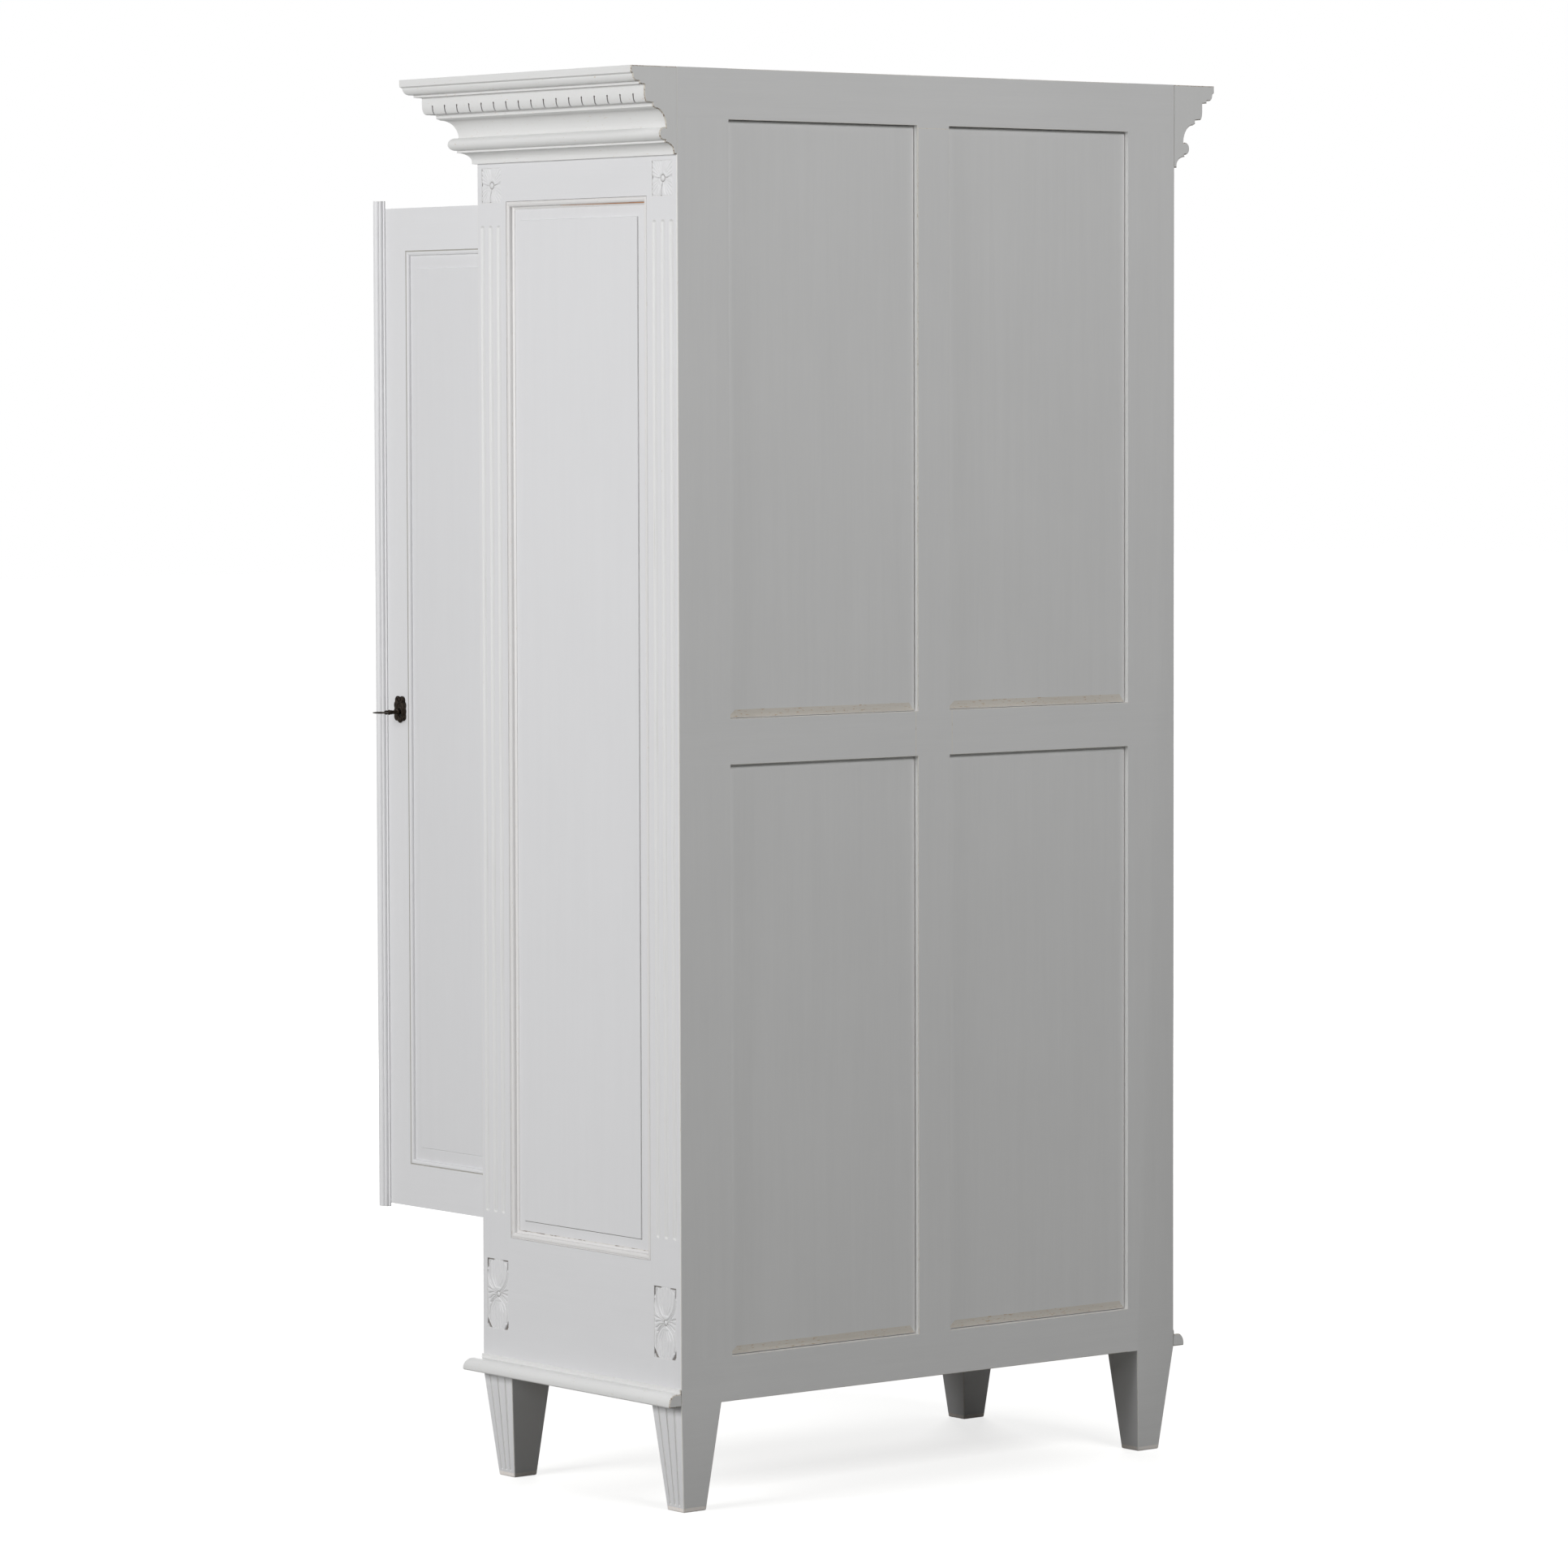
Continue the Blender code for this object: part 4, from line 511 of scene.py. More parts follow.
# The relief is painted dark in its cuts, as grime and as painted shade.
relief_paint = painted_wood("thick_paint_on_relief", "Z", "E8E8EA", "E3E3E4", dust_and_shade=0.5,
                            crevice=2.0 * MM, soil="6A6153", packed_grime_and_shade="4E4234")
cornice_paint = painted_wood("brushed_paint_cornice_side", "Y", "E7E7E7", "E0E0DF", dust_and_shade=0.2, wear=0.06)
cornice_front_paint = painted_wood("brushed_paint_cornice_front", "X", "E7E7E7", "E0E0DF", dust_and_shade=0.2,
                                   wear=0.06)
end_cut_paint = painted_wood("thin_paint_on_sawn_ends", "Z", "E4E4E4", "DCDCDB", relief=0.3)
chipped_rim_paint = painted_wood("chipped_paint_on_sawn_rims", "Z", "DFDCD6", "C9C2B6", wear=0.7,
                                 worn="5E4229", chip=(1.6 * MM, 4.0 * MM))
back_paint = painted_wood("thin_brushed_paint_on_back_frame", "Z", "E4E4E4", "DBDBDB", streak=0.6,
                          relief=0.25, bands=BACK_RAIL_BANDS)
back_arris_paint = painted_wood("cream_paint_on_back_arrises", "Z", "EBE9E4", "E0DCD5", dust_and_shade=0.4,
                                wear=0.3, worn="C2B6A4")
# Painted highlight: the sideways walls of the back's openings are painted white, as if lit from the side.
bay_wall_highlight_paint = painted_wood("pale_paint_on_bay_walls", "Z", "FFFFFF", "FAFAF8", dust_and_shade=0.0)
back_panel_paint = painted_wood("thin_brushed_paint_on_back_panels", "Z", "E4E4E4", "DBDBDB",
                                streak=0.6, relief=0.25)
# Stain and painted shade: the back panels' lower bevels are painted browner and darker.
back_bevel_stain_and_shade_paint = painted_wood("stained_paint_on_lower_bevels", "X", "E1DDD6", "D0C9BE", streak=0.7,
                                dust_and_shade=0.5, wear=0.3, worn="B89870")
sole_paint = painted_wood("chipped_paint_at_soles", "X", "FCFAF8", "F6EEE8", dust_and_shade=0.0, wear=0.3,
                          worn="D0915F", chip=(1.4 * MM, 4.0 * MM))
raw_pine = plain_wood("raw_pine_edge", "Y", "CFA277", "A66E42", 0.6)
pine = plain_wood("oiled_pine_boards", "X", "C9A57A", "9A7247", 0.55)
pine_sides = plain_wood("oiled_pine_battens", "Y", "C6A074", "977048", 0.55)
beech = plain_wood("turned_beech_rod", "X", "C8A27A", "A9805A", 0.42)
iron = old_metal("blackened_cast_iron", "4A3F36", "17130F", 0.85, 0.38, 0.62, 0.8 * MM)
brass = old_metal("aged_brass", "B58F4E", "6E5530", 1.0, 0.30, 0.52, 1.2 * MM)
steel = old_metal("dull_rolled_steel", "A9A6A0", "74716C", 1.0, 0.32, 0.52, 0.9 * MM)

# Each CAD node takes its real finish, by how its name begins. Those that no later piece replaces keep it
CAD_FINISHES = (
    (("hinge_", "top_bolt_slide", "bottom_bolt_slide"), steel),
    (("lock_case", "lock_keeper", "escutcheon", "key", "top_bolt_plate", "bottom_bolt_plate"), iron),
    (("lock_bolt", "rod_socket"), brass), (("hanging_rod",), beech), (("shelf_batten",), pine_sides),
    (("floor_board", "roof_board", "hat_shelf"), pine), (("back_",), back_paint), (("",), post_paint))
for node_name, node_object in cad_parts.items():
    node_object.data.materials.clear()
    node_object.data.materials.append(
        next(finish for starts, finish in CAD_FINISHES if node_name.startswith(starts)))


# Corner posts, each one timber with its foot

def taper(centre, share_x, share_y):
    """Draw the faces that are selected in towards a centre, and leave edit mode."""
    bpy.ops.transform.resize(value=(share_x, share_y, 1.0), center_override=centre)
    close_mesh()


def round_bar(name, start, end, radius, end_radius):
    """A bar with round ends: the two halves of a sphere drawn apart."""
    axis = Vector(end) - Vector(start)
    deselect()
    bpy.ops.mesh.primitive_uv_sphere_add(segments=32, ring_count=13, radius=radius)
    bar = bpy.context.active_object
    select_faces(bar, lambda centre, normal: centre.z > NEAR)
    bpy.ops.transform.translate(value=(0.0, 0.0, axis.length))
    share = end_radius / radius
    bpy.ops.transform.resize(value=(share, share, share), center_override=(0.0, 0.0, axis.length))
    close_mesh()
    bar.rotation_euler = axis.to_track_quat("Z", "Y").to_euler()
    bar.location = start
    return settle(bar, name)


def gouge_radius(width, depth):
    return (width * width / 4 + depth * depth) / (2 * depth)


def face_tools(corner, across, outward, middles, foot_width):
    """Gouges and recess tools for one carved face of a post, and for the foot below it."""
    tools = []
    radius = gouge_radius(FLUTE_WIDTH, FLUTE_DEPTH)
    lift = outward * (radius - FLUTE_DEPTH)
    for k in range(FLUTE_COUNT):
        shift = (k - (FLUTE_COUNT - 1) / 2) * FLUTE_PITCH
        base = corner + across * (middles[0] + shift) + lift
        low = base + UPWARD * (PANEL_BASE + FLUTE_TO_PANEL)
        high = base + UPWARD * (PANEL_TOP - FLUTE_TO_PANEL)
        tools.append(round_bar("gouge", low, high, radius, radius))
        share = shift / FOOT_ACROSS
        ends = []
        for height in (FOOT_FLUTE_END + 4.0 * MM, FOOT_HEIGHT + FOOT_FLUTE_END):
            drawn_in = FOOT_TAPER * (1.0 - height / FOOT_HEIGHT)
            offset = foot_width / 2 + share * (foot_width - 2 * drawn_in)
            ends.append(corner + across * offset - outward * drawn_in + UPWARD * height)
        wide = gouge_radius(FOOT_FLUTE_WIDTH, FOOT_FLUTE_DEPTH)
        small = wide * FOOT_FLUTE_NARROWING
        shallow = FOOT_FLUTE_DEPTH * FOOT_FLUTE_SHALLOWING
        tools.append(round_bar("foot_gouge", ends[0] + outward * (small - shallow),
                               ends[1] + outward * (wide - FOOT_FLUTE_DEPTH), small, wide))
    sinks = ((middles[1], ROSETTE_WIDTH, ROSETTE_HEIGHT, PANEL_TOP - ROSETTE_BELOW_RAIL),
             (middles[2], PLAQUE_WIDTH, PLAQUE_HEIGHT, PANEL_BASE - PLAQUE_BELOW_PANEL - PLAQUE_HEIGHT))
    for middle, width, height, base in sinks:
        foot_corner = corner + across * (middle - width / 2) - outward * (RECESS_DEPTH + 0.5 * MM)
        head_corner = corner + across * (middle + width / 2) + outward * RECESS_DEPTH
        tools.append(block("recess", foot_corner + UPWARD * base, head_corner + UPWARD * (base + height)))
    return tools


def carved_post(node, at_front):
    low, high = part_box(node)
    corner = Vector((high.x, low.y if at_front else high.y, 0.0))
    post = block("carved_" + node, (low.x, low.y, FOOT_HEIGHT), high)
    foot_low = Vector((high.x - FOOT_ACROSS, low.y, 0.0))
    foot = block("foot", foot_low, (high.x, high.y, FOOT_HEIGHT))
    middle = (foot_low + high) / 2
    depth = high.y - low.y
    select_faces(foot, lambda centre, normal: normal.z < -0.9)
    taper((middle.x, middle.y, 0.0), 1.0 - 2 * FOOT_TAPER / FOOT_ACROSS,
          1.0 - 2 * FOOT_TAPER / depth)
    select_faces(foot, lambda centre, normal: normal.z > 0.9)
    bpy.ops.mesh.extrude_region_move(TRANSFORM_OT_translate={"value": (0.0, 0.0, FOOT_TENON)})
    taper((middle.x, middle.y, FOOT_HEIGHT), FOOT_TENON_SHARE, FOOT_TENON_SHARE)
    combine(post, foot, "UNION")
    select_faces(post, lambda centre, normal: True)
    bpy.ops.mesh.bisect(plane_co=(0.0, 0.0, SOLE_WORN), plane_no=(0.0, 0.0, 1.0))
    close_mesh()
    paint_with(post, post_paint, arris_paint, sole_paint, back_paint, bay_wall_highlight_paint)
    if not at_front:
        slot_faces(post, 3, lambda centre, normal: normal.y > 0.9)
        # The post's walls beside the back's openings take the painted highlight.
        slot_faces(post, 4, lambda centre, normal: normal.x < -0.9 and centre.z > FOOT_HEIGHT)
    slot_faces(post, 2, lambda centre, normal: centre.z < SOLE_WORN)

    def worn_arris(a, b):
        tall = abs(a.z - b.z) > SOLE_WORN - NEAR
        on_foot = max(a.z, b.z) < FOOT_HEIGHT + NEAR
        outer = all(abs(p.x - corner.x) < NEAR and abs(p.y - corner.y) < NEAR for p in (a, b))
        return tall and (on_foot or outer)

    bevel_edges(post, worn_arris, POST_ARRIS, material=1)
    bevel_edges(post, lambda a, b: max(a.z, b.z) < NEAR, SOLE_ARRIS, material=2)
    tools = face_tools(corner, BACKWARD if at_front else -BACKWARD, RIGHTWARD,
                       (FLUTE_CENTRE, ROSETTE_CENTRE, PLAQUE_CENTRE), depth)
    if at_front:
        tools += face_tools(corner, -RIGHTWARD, -BACKWARD, [(high.x - low.x) / 2] * 3, FOOT_ACROSS)
    for tool in tools:
        paint_with(tool, flute_paint)
    combine(post, join("tools", tools), "DIFFERENCE")
    ease_rims(post, flute_paint)
    smooth(post, 20.0)
    return post


def ease_rims(piece, cut_material):
    """Take the sharpness off the edges where cut faces meet the uncut ones."""
    cut = [material.name for material in piece.data.materials].index(cut_material.name)
    kinds = {}
    for face in piece.data.polygons:
        for edge in face.edge_keys:
            kinds.setdefault(edge, set()).add(face.material_index == cut)
    choose(piece, "EDGE", lambda edge: len(kinds[edge.key]) == 2)
    bpy.ops.mesh.bevel(offset=RIM_ARRIS, segments=1, affect="EDGES", material=1)
    close_mesh()


# Low relief in the recesses

def step_up(low, high, value):
    """Rise smoothly from 0 to 1 between two values."""
    share = min(max((value - low) / (high - low), 0.0), 1.0)
    return share * share * (3.0 - 2.0 * share)


def dome(distance, radius):
    return math.sqrt(max(1.0 - (distance / radius) ** 2, 0.0))


def off_line(x, y, line):
    """Distance of a point from a bent line."""
    nearest = math.inf
    for (ax, ay), (bx, by) in zip(line, line[1:]):
        run = (bx - ax) ** 2 + (by - ay) ** 2
        share = min(max(((x - ax) * (bx - ax) + (y - ay) * (by - ay)) / run, 0.0), 1.0)
        nearest = min(nearest, math.hypot(x - ax - share * (bx - ax), y - ay - share * (by - ay)))
    return nearest


def veined(x, y, lines):
    """How deep the carver's V tool has gone at a point. Each line has its depth and half width."""
    cut = 0.0
    for depth, half, line in lines:
        distance = off_line(x, y, line)
        if distance < 3.0 * half:
            cut = max(cut, depth * math.exp(-(distance / half) ** 2))
    return cut


def rosette_height(x, y):
    """Four petals on the diagonals, parted by slits that open at the rim, round a button, in mm."""
    half_x, half_y = ROSETTE_WIDTH / MM / 2, ROSETTE_HEIGHT / MM / 2
    centre = math.hypot(x, y)
    height = 2.4 - 0.5 * step_up(17.0, 7.0, centre)
    turn = abs(math.degrees(math.atan2(abs(y), abs(x))) - 45.0)
    for vein, depth in ((0.0, 0.9), (12.0, 0.7), (24.0, 0.6)):
        off = centre * math.radians(abs(turn - vein))
        height -= depth * math.exp(-(off / 0.85) ** 2) * step_up(7.0, 11.0, centre)
    for along, across, reach, lean, depth in ((y, x, half_y, -2.4, 0.9), (-y, x, half_y, -3.6, 1.5),
                                              (x, y, half_x, 2.6, 1.3), (-x, y, half_x, 1.6, 1.2)):
        if along > 4.5:
            off = abs(across - lean * (along - 4.5) / (reach - 4.5))
            half = 0.9 + 2.2 * step_up(reach - 9.0, reach, along)
            height -= depth * step_up(1.35 * half, 0.1 * half, off) * step_up(4.5, 8.0, along)
    rim = min(half_x - abs(x), half_y - abs(y))
    height -= 0.4 * step_up(1.3, 0.5, rim)
    ring = 0.95 * math.exp(-((centre - 5.2) / 1.0) ** 2)
    if centre < 5.0:
        return max(2.4 * dome(centre, 4.4), 0.5)
    return max(height - ring, 0.3)


BUD_OUTLINE = [(3.0, 3.5), (8.5, 7.0), (14.0, 12.5), (18.0, 19.5), (19.8, 27.0), (20.4, 40.0),
               (18.0, 45.5)]
SEPAL = [(4.5, 2.5), (12.0, 6.5), (18.5, 13.0), (22.5, 22.0), (23.6, 31.0)]
PAD_OUTLINE = [(3.0, -4.5), (9.0, -8.0), (15.0, -13.5), (19.0, -21.0), (20.8, -31.0), (19.4, -39.5)]
KNOT_LEAVES = [[(4.5, 0.5), (12.0, 1.6), (21.5, -0.5)], [(4.5, -1.2), (12.5, -3.2), (20.5, -8.5)],
               [(5.0, 1.8), (13.0, 4.6), (22.5, 6.6)], [(4.6, -2.4), (11.0, -6.2), (17.5, -13.2)]]


def plaque_height(x, y):
    """Two buds with ribs, one up and one down, tied by a knot with thin leaves, in mm."""
    half_x, half_y = PLAQUE_WIDTH / MM / 2, PLAQUE_HEIGHT / MM / 2
    side = abs(x)
    lines = [(1.55, 1.1, BUD_OUTLINE), (1.35, 0.95, SEPAL), (1.5, 1.1, PAD_OUTLINE)]
    lines += [(1.6, 0.95, leaf) for leaf in KNOT_LEAVES]
    for share in (0.0, 0.36, 0.7):
        lines.append((1.1, 0.95, [(share * 8.0, 10.0), (share * 17.5, 22.0), (share * 19.5, 47.0)]))
        lines.append((1.1, 0.95, [(share * 8.5, -10.5), (share * 18.5, -24.0), (share * 16.0, -47.0)]))
    height = 2.4 - veined(side, y, lines)
    height -= 0.4 * step_up(1.3, 0.5, min(half_x - side, half_y - abs(y)))
    corner_x, corner_y = half_x - side, half_y - y
    angle_cut = min(max(corner_x / 2.6, corner_y / 15.0), max(corner_x / 17.0, corner_y / 2.4))
    height = min(height, 0.4 + 2.0 * step_up(0.7, 1.2, angle_cut))
    notch = corner_x + 0.75 * (half_y + y)
    height = min(height, 2.4 - 2.1 * step_up(3.0, 4.6, notch) * step_up(10.8, 9.0, notch))
    centre = math.hypot(x, y)
    if centre < 4.2:
        return max(2.4 * dome(centre, 3.7), 0.6)
    return max(height, 0.3)


def relief_slab(name, width, height, surface):
    """A grid raised into carving, with its edge drawn down and closed behind."""
    deselect()
    bpy.ops.mesh.primitive_grid_add(x_subdivisions=round(width / CARVING_GRID),
                                    y_subdivisions=round(height / CARVING_GRID), size=1.0)
    slab = bpy.context.active_object
    slab.scale = (width, height, 1.0)
    settle(slab, name)
    # cut_depth holds how dark each point is painted: grime and painted shade, darkest in the deepest
    # cuts.
    cut_depth = slab.data.attributes.new("cut_depth", "FLOAT", "POINT")
    for vertex, depth in zip(slab.data.vertices, cut_depth.data):
        rise = surface(vertex.co.x / MM, vertex.co.y / MM)
        vertex.co.z = rise * MM
        depth.value = 0.8 * step_up(1.35, 0.3, rise)
    open_mesh(slab, "EDGE")
    bpy.ops.mesh.region_to_loop()
    bpy.ops.mesh.extrude_edges_move(TRANSFORM_OT_translate={"value": (0.0, 0.0, -MM)})
    bpy.ops.transform.resize(value=(1.0, 1.0, 0.0), center_override=(0.0, 0.0, -MM))
    bpy.ops.mesh.edge_face_add()
    close_mesh()
    face_outward(slab)
    smooth(slab, 50.0)
    return paint_with(slab, relief_paint)


rosette = relief_slab("rosette", ROSETTE_WIDTH, ROSETTE_HEIGHT, rosette_height)
plaque = relief_slab("plaque", PLAQUE_WIDTH, PLAQUE_HEIGHT, plaque_height)
for way, hand in ((1.0, "right"), (-1.0, "left")):
    side = RIGHTWARD * way
    for face, edge, across, outward, middles in (
            ("back_end_", BACK_Y, -BACKWARD, side, (ROSETTE_CENTRE, PLAQUE_CENTRE)),
            ("front_end_", FRONT_Y, BACKWARD, side, (ROSETTE_CENTRE, PLAQUE_CENTRE)),
            ("front_face_", FRONT_Y, -side, -BACKWARD, (POST_MIDDLE, POST_MIDDLE))):
        corner = side * HALF_WIDTH + BACKWARD * edge - outward * RECESS_DEPTH
        for carving, middle, height in (
                (rosette, middles[0], PANEL_TOP - ROSETTE_BELOW_RAIL + ROSETTE_HEIGHT / 2),
                (plaque, middles[1], PANEL_BASE - PLAQUE_BELOW_PANEL - PLAQUE_HEIGHT / 2)):
            piece = duplicate(carving, carving.name + "_" + face + hand)
            turned_to(piece, corner + across * middle + UPWARD * height, UPWARD, outward)
            hand_over(piece)
bpy.data.objects.remove(rosette, do_unlink=True)
bpy.data.objects.remove(plaque, do_unlink=True)

for node, at_front in (("post_back_right", False), ("post_front_right", True)):
    post = carved_post(node, at_front)
    other = node.replace("right", "left")
    left_post = mirrored(post, "carved_" + other)
    hand_over(post, node)
    hand_over(left_post, other)


# Frames. Posts and rails are flush and painted over, so no joint shows

def back_frame():
    """Three rails and two muntins of the back as one board, with a lip round each of its four openings.

    The lips run inside the panels' edges, so that no light shows past a loose panel.
    """
    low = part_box("back_rail_bottom")[0]
    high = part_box("back_rail_top")[1]
    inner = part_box("post_back_right")[0].x
    board = block("back_frame", (-inner, low.y, low.z), (inner, high.y, high.z))
    paint_with(board, back_paint, back_arris_paint, bay_wall_highlight_paint)
    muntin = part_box("back_muntin_lower")[1].x
    bays = ((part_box("back_rail_bottom")[1].z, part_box("back_rail_middle")[0].z),
            (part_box("back_rail_middle")[1].z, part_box("back_rail_top")[0].z))
    panel_low, panel_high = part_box("back_panel_lower_right")
    lip_face = (panel_low.y + panel_high.y) / 2
    for back, face, margin in ((low.y - MM, high.y + MM, BACK_LIP), (lip_face, high.y + MM, 0.0),
                               (low.y - MM, lip_face - BACK_LIP_THICKNESS, 0.0)):
        tools = []
        for base, top in bays:
            for way in (-1.0, 1.0):
                tools.append(block("bay", (way * (muntin + margin), back, base + margin),
                                   (way * (inner + MM - margin), face, top - margin)))
        combine(board, join("bays", tools), "DIFFERENCE")

    def bay_edge(a, b):
        outside = abs(a.y - high.y) < NEAR and abs(b.y - high.y) < NEAR
        inside = low.z + NEAR < min(a.z, b.z) and max(a.z, b.z) < high.z - NEAR
        return outside and inside and min(abs(a.x), abs(b.x)) < inner - NEAR

    def plain_edge(a, b):
        level = abs(a.z - b.z) < NEAR and (abs(a.z - low.z) < NEAR or abs(a.z - high.z) < NEAR)
        return level and abs(a.x - b.x) > LONG and abs(a.y - high.y) < NEAR

    def rubbed_edge(a, b):
        return bay_edge(a, b) and abs(a.x - muntin) < NEAR and abs(b.x - muntin) < NEAR

    # The openings' walls that face the right-hand end take the painted highlight.
    slot_faces(board, 2, lambda centre, normal: normal.x > 0.9)
    bevel_edges(board, rubbed_edge, BACK_RUBBED_ARRIS, material=1)
    bevel_edges(board, bay_edge, 0.6 * MM, material=1)
    bevel_edges(board, plain_edge, RAIL_ARRIS, material=1)
    smooth(board, 20.0)
    return board


hand_over(back_frame(), "back_rail_bottom", "back_rail_middle", "back_rail_top", "back_muntin_lower",
          "back_muntin_upper", slot="grey_back_paint")


def rail(node, grow, paint, eased):
    """A rail drawn out to touch its posts, its edges eased where no other wood meets them."""
    low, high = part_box(node)
    piece = block("painted_" + node, low - grow, high + grow)
    paint_with(piece, paint, arris_paint)
    bevel_edges(piece, eased, FINE_ARRIS * 2, material=1)
    smooth(piece, 20.0)
    hand_over(piece, node)


def top_edge(a, b):
    """An end rail's outer edge on top."""
    return min(a.z, b.z) > HEIGHT - NEAR and abs(a.x - b.x) < NEAR and abs(a.x) > HALF_WIDTH - 10.0 * MM


def front_edge(a, b):
    """A front rail's long edges in front."""
    return abs(a.z - b.z) < NEAR and abs(a.x - b.x) > LONG and a.y < FRONT_Y + NEAR


for hand in ("left", "right"):
    for part in ("top", "bottom"):
        rail("end_rail_" + part + "_" + hand, BACKWARD * RAIL_GAP, end_rail_paint, top_edge)
rail("front_rail_top", RIGHTWARD * RAIL_GAP, front_rail_paint,
     lambda a, b: front_edge(a, b) and a.z < HEIGHT - LONG)
rail("front_rail_bottom", RIGHTWARD * RAIL_GAP, front_rail_paint,
     lambda a, b: front_edge(a, b) and a.z > FOOT_HEIGHT + LONG)


# Panels, mouldings, doors, ironwork and boards keep the part's own shape, with eased and worn edges

def eased_copy(node, width, materials, sharp=22.0, soft=25.0, other_paint=None):
    """A merged copy of a node with eased edges. The second material goes where a test says."""
    piece = cad_copy(node, "eased_" + node)
    paint_with(piece, *materials)
    if other_paint:
        slot_faces(piece, 1, other_paint)
    arris_modifier(piece, width, sharp)
    smooth(piece, soft)
    return piece


def set_tight(piece, *step):
    """Push a loose panel up against what holds it."""
    piece.location = step
    settle(piece)


for hand, way in (("left", -1.0), ("right", 1.0)):
    for bay, lift in (("lower", 0.25 * MM), ("upper", -0.1 * MM)):
        node = "back_panel_" + bay + "_" + hand
        # The downward bevels take the stained paint with its painted shade.
        piece = eased_copy(node, 0.25 * MM, (back_panel_paint, back_bevel_stain_and_shade_paint),
                           other_paint=lambda centre, normal: normal.z < -0.05 and normal.y > 0.5)
        set_tight(piece, 0.1 * MM, 0.0, lift)
        hand_over(piece, node, slot="grey_back_paint")
    node = "end_panel_" + hand
    piece = eased_copy(node, 0.1 * MM, (panel_paint, chipped_quirk_paint),
                       other_paint=lambda centre, normal: abs(normal.x) < 0.8 and normal.y < -0.5)
    set_tight(piece, way * PANEL_GAP, 0.0, 0.0)
    hand_over(piece, node)
    node = "end_moulding_" + hand
    hand_over(eased_copy(node, 0.2 * MM, [end_moulding_paint]), node, slot="cream_worn_paint")


def narrow_lock_stile(piece):
    """Draw the moulding at the door's free edge outwards, for a stile narrower than the others."""
    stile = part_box("door_frame_right")[0].y + LOCK_STILE
    for vertex in piece.data.vertices:
        if stile < vertex.co.y < stile + LOCK_STILE:
            vertex.co.y -= LOCK_STILE_LESS


door_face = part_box("door_frame_right")[1].x
# The faces in the door moulding's quirk take the painted shade.
frame_right = eased_copy("door_frame_right", FINE_ARRIS, (lit_right_door_paint, quirk_paint),
                         other_paint=lambda centre, normal: 0.5 < abs(normal.x) < 0.85
                         and 0.1 * MM < door_face - centre.x < 1.3 * MM)
# The right panel's slanting faces take the painted highlight.
panel_right = eased_copy("door_panel_right", 0.2 * MM, (panel_paint, field_edge_highlight_paint),
                         other_paint=lambda centre, normal: 0.1 < abs(normal.x) < 0.8)
narrow_lock_stile(frame_right)
narrow_lock_stile(panel_right)
set_tight(panel_right, DOOR_PANEL_RISE, 0.0, 0.0)
frame_left = eased_copy("door_frame_left", FINE_ARRIS, [left_door_paint])
# The left panel's slanting faces take the painted highlight.
panel_left = eased_copy("door_panel_left", 0.2 * MM, (panel_paint, field_edge_highlight_paint),
                        other_paint=lambda centre, normal: 0.1 < abs(normal.y) < 0.8)
set_tight(panel_left, 0.0, -DOOR_PANEL_RISE, 0.0)
for door, pieces in (("right", (frame_right, panel_right)), ("left", (frame_left, panel_left))):
    for piece in pieces:
        hand_over(piece, piece.name.replace("eased_", ""), body=door + "_door")

# The near end's panel has dropped a little, and shows raw pine above its lip
BARE_FROM, BARE_TO = 147.0 * MM, 336.0 * MM
low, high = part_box("end_panel_right")
strip = block("raw_pine_edge", (high.x - 2.0 * MM, BARE_FROM, PANEL_TOP - 9.1 * MM),
              (high.x + 0.25 * MM, BARE_TO, PANEL_TOP - 7.4 * MM))
select_faces(strip, lambda centre, normal: normal.y < -0.9)
bpy.ops.transform.resize(value=(1.0, 1.0, 0.2), center_override=(high.x, BARE_FROM, PANEL_TOP - 7.8 * MM))
close_mesh()
paint_with(strip, raw_pine)
arris_modifier(strip, 0.2 * MM, 30.0)
hand_over(strip, slot="bare_pine")

# Along its raised field's lower and rear edges the same panel has an open seam; a near-black strip paints
# its shade and grime.
inset = (BACKWARD + UPWARD) * FIELD_INSET
field_low, field_high = low + inset, high - inset
seam_back, seam_face = high.x - 1.6 * MM, high.x - 1.1 * MM
seam = block("open_seam", (seam_back, field_low.y, field_low.z - 1.2 * MM),
             (seam_face, field_high.y + 1.1 * MM, field_low.z + 0.2 * MM))
combine(seam, block("upright", (seam_back, field_high.y - 0.2 * MM, field_low.z),
                    (seam_face, field_high.y + 1.1 * MM, field_high.z)), "UNION")
paint_with(seam, seam_shade_paint)
bevel_edges(seam, lambda a, b: min(a.x, b.x) > high.x - 1.2 * MM, 0.1 * MM, 1)
hand_over(seam)

# Where the same panel meets its lower moulding the paint has gone in dashes
dashes = block("chipped_line", (HALF_WIDTH - 8.2 * MM, low.y + 11.0 * MM, low.z + 10.4 * MM),
               (HALF_WIDTH - 6.7 * MM, high.y - 11.0 * MM, low.z + 11.5 * MM))
paint_with(dashes, dashed_paint)
bevel_edges(dashes, lambda a, b: min(a.x, b.x) > HALF_WIDTH - 6.8 * MM, 0.2 * MM, 1)
hand_over(dashes, slot="cream_worn_paint")


# Mouldings, drawn as sections and run along the case

def quarter(start, end, down_first, steps):
    """A quarter of an ellipse between two section points, setting off downwards or level."""
    points = []
    for i in range(1, steps + 1):
        angle = math.pi / 2 * i / steps
        u, v = math.sin(angle), 1.0 - math.cos(angle)
        if down_first:
            u, v = v, u
        points.append((start[0] + (end[0] - start[0]) * u, start[1] + (end[1] - start[1]) * v))
    return points


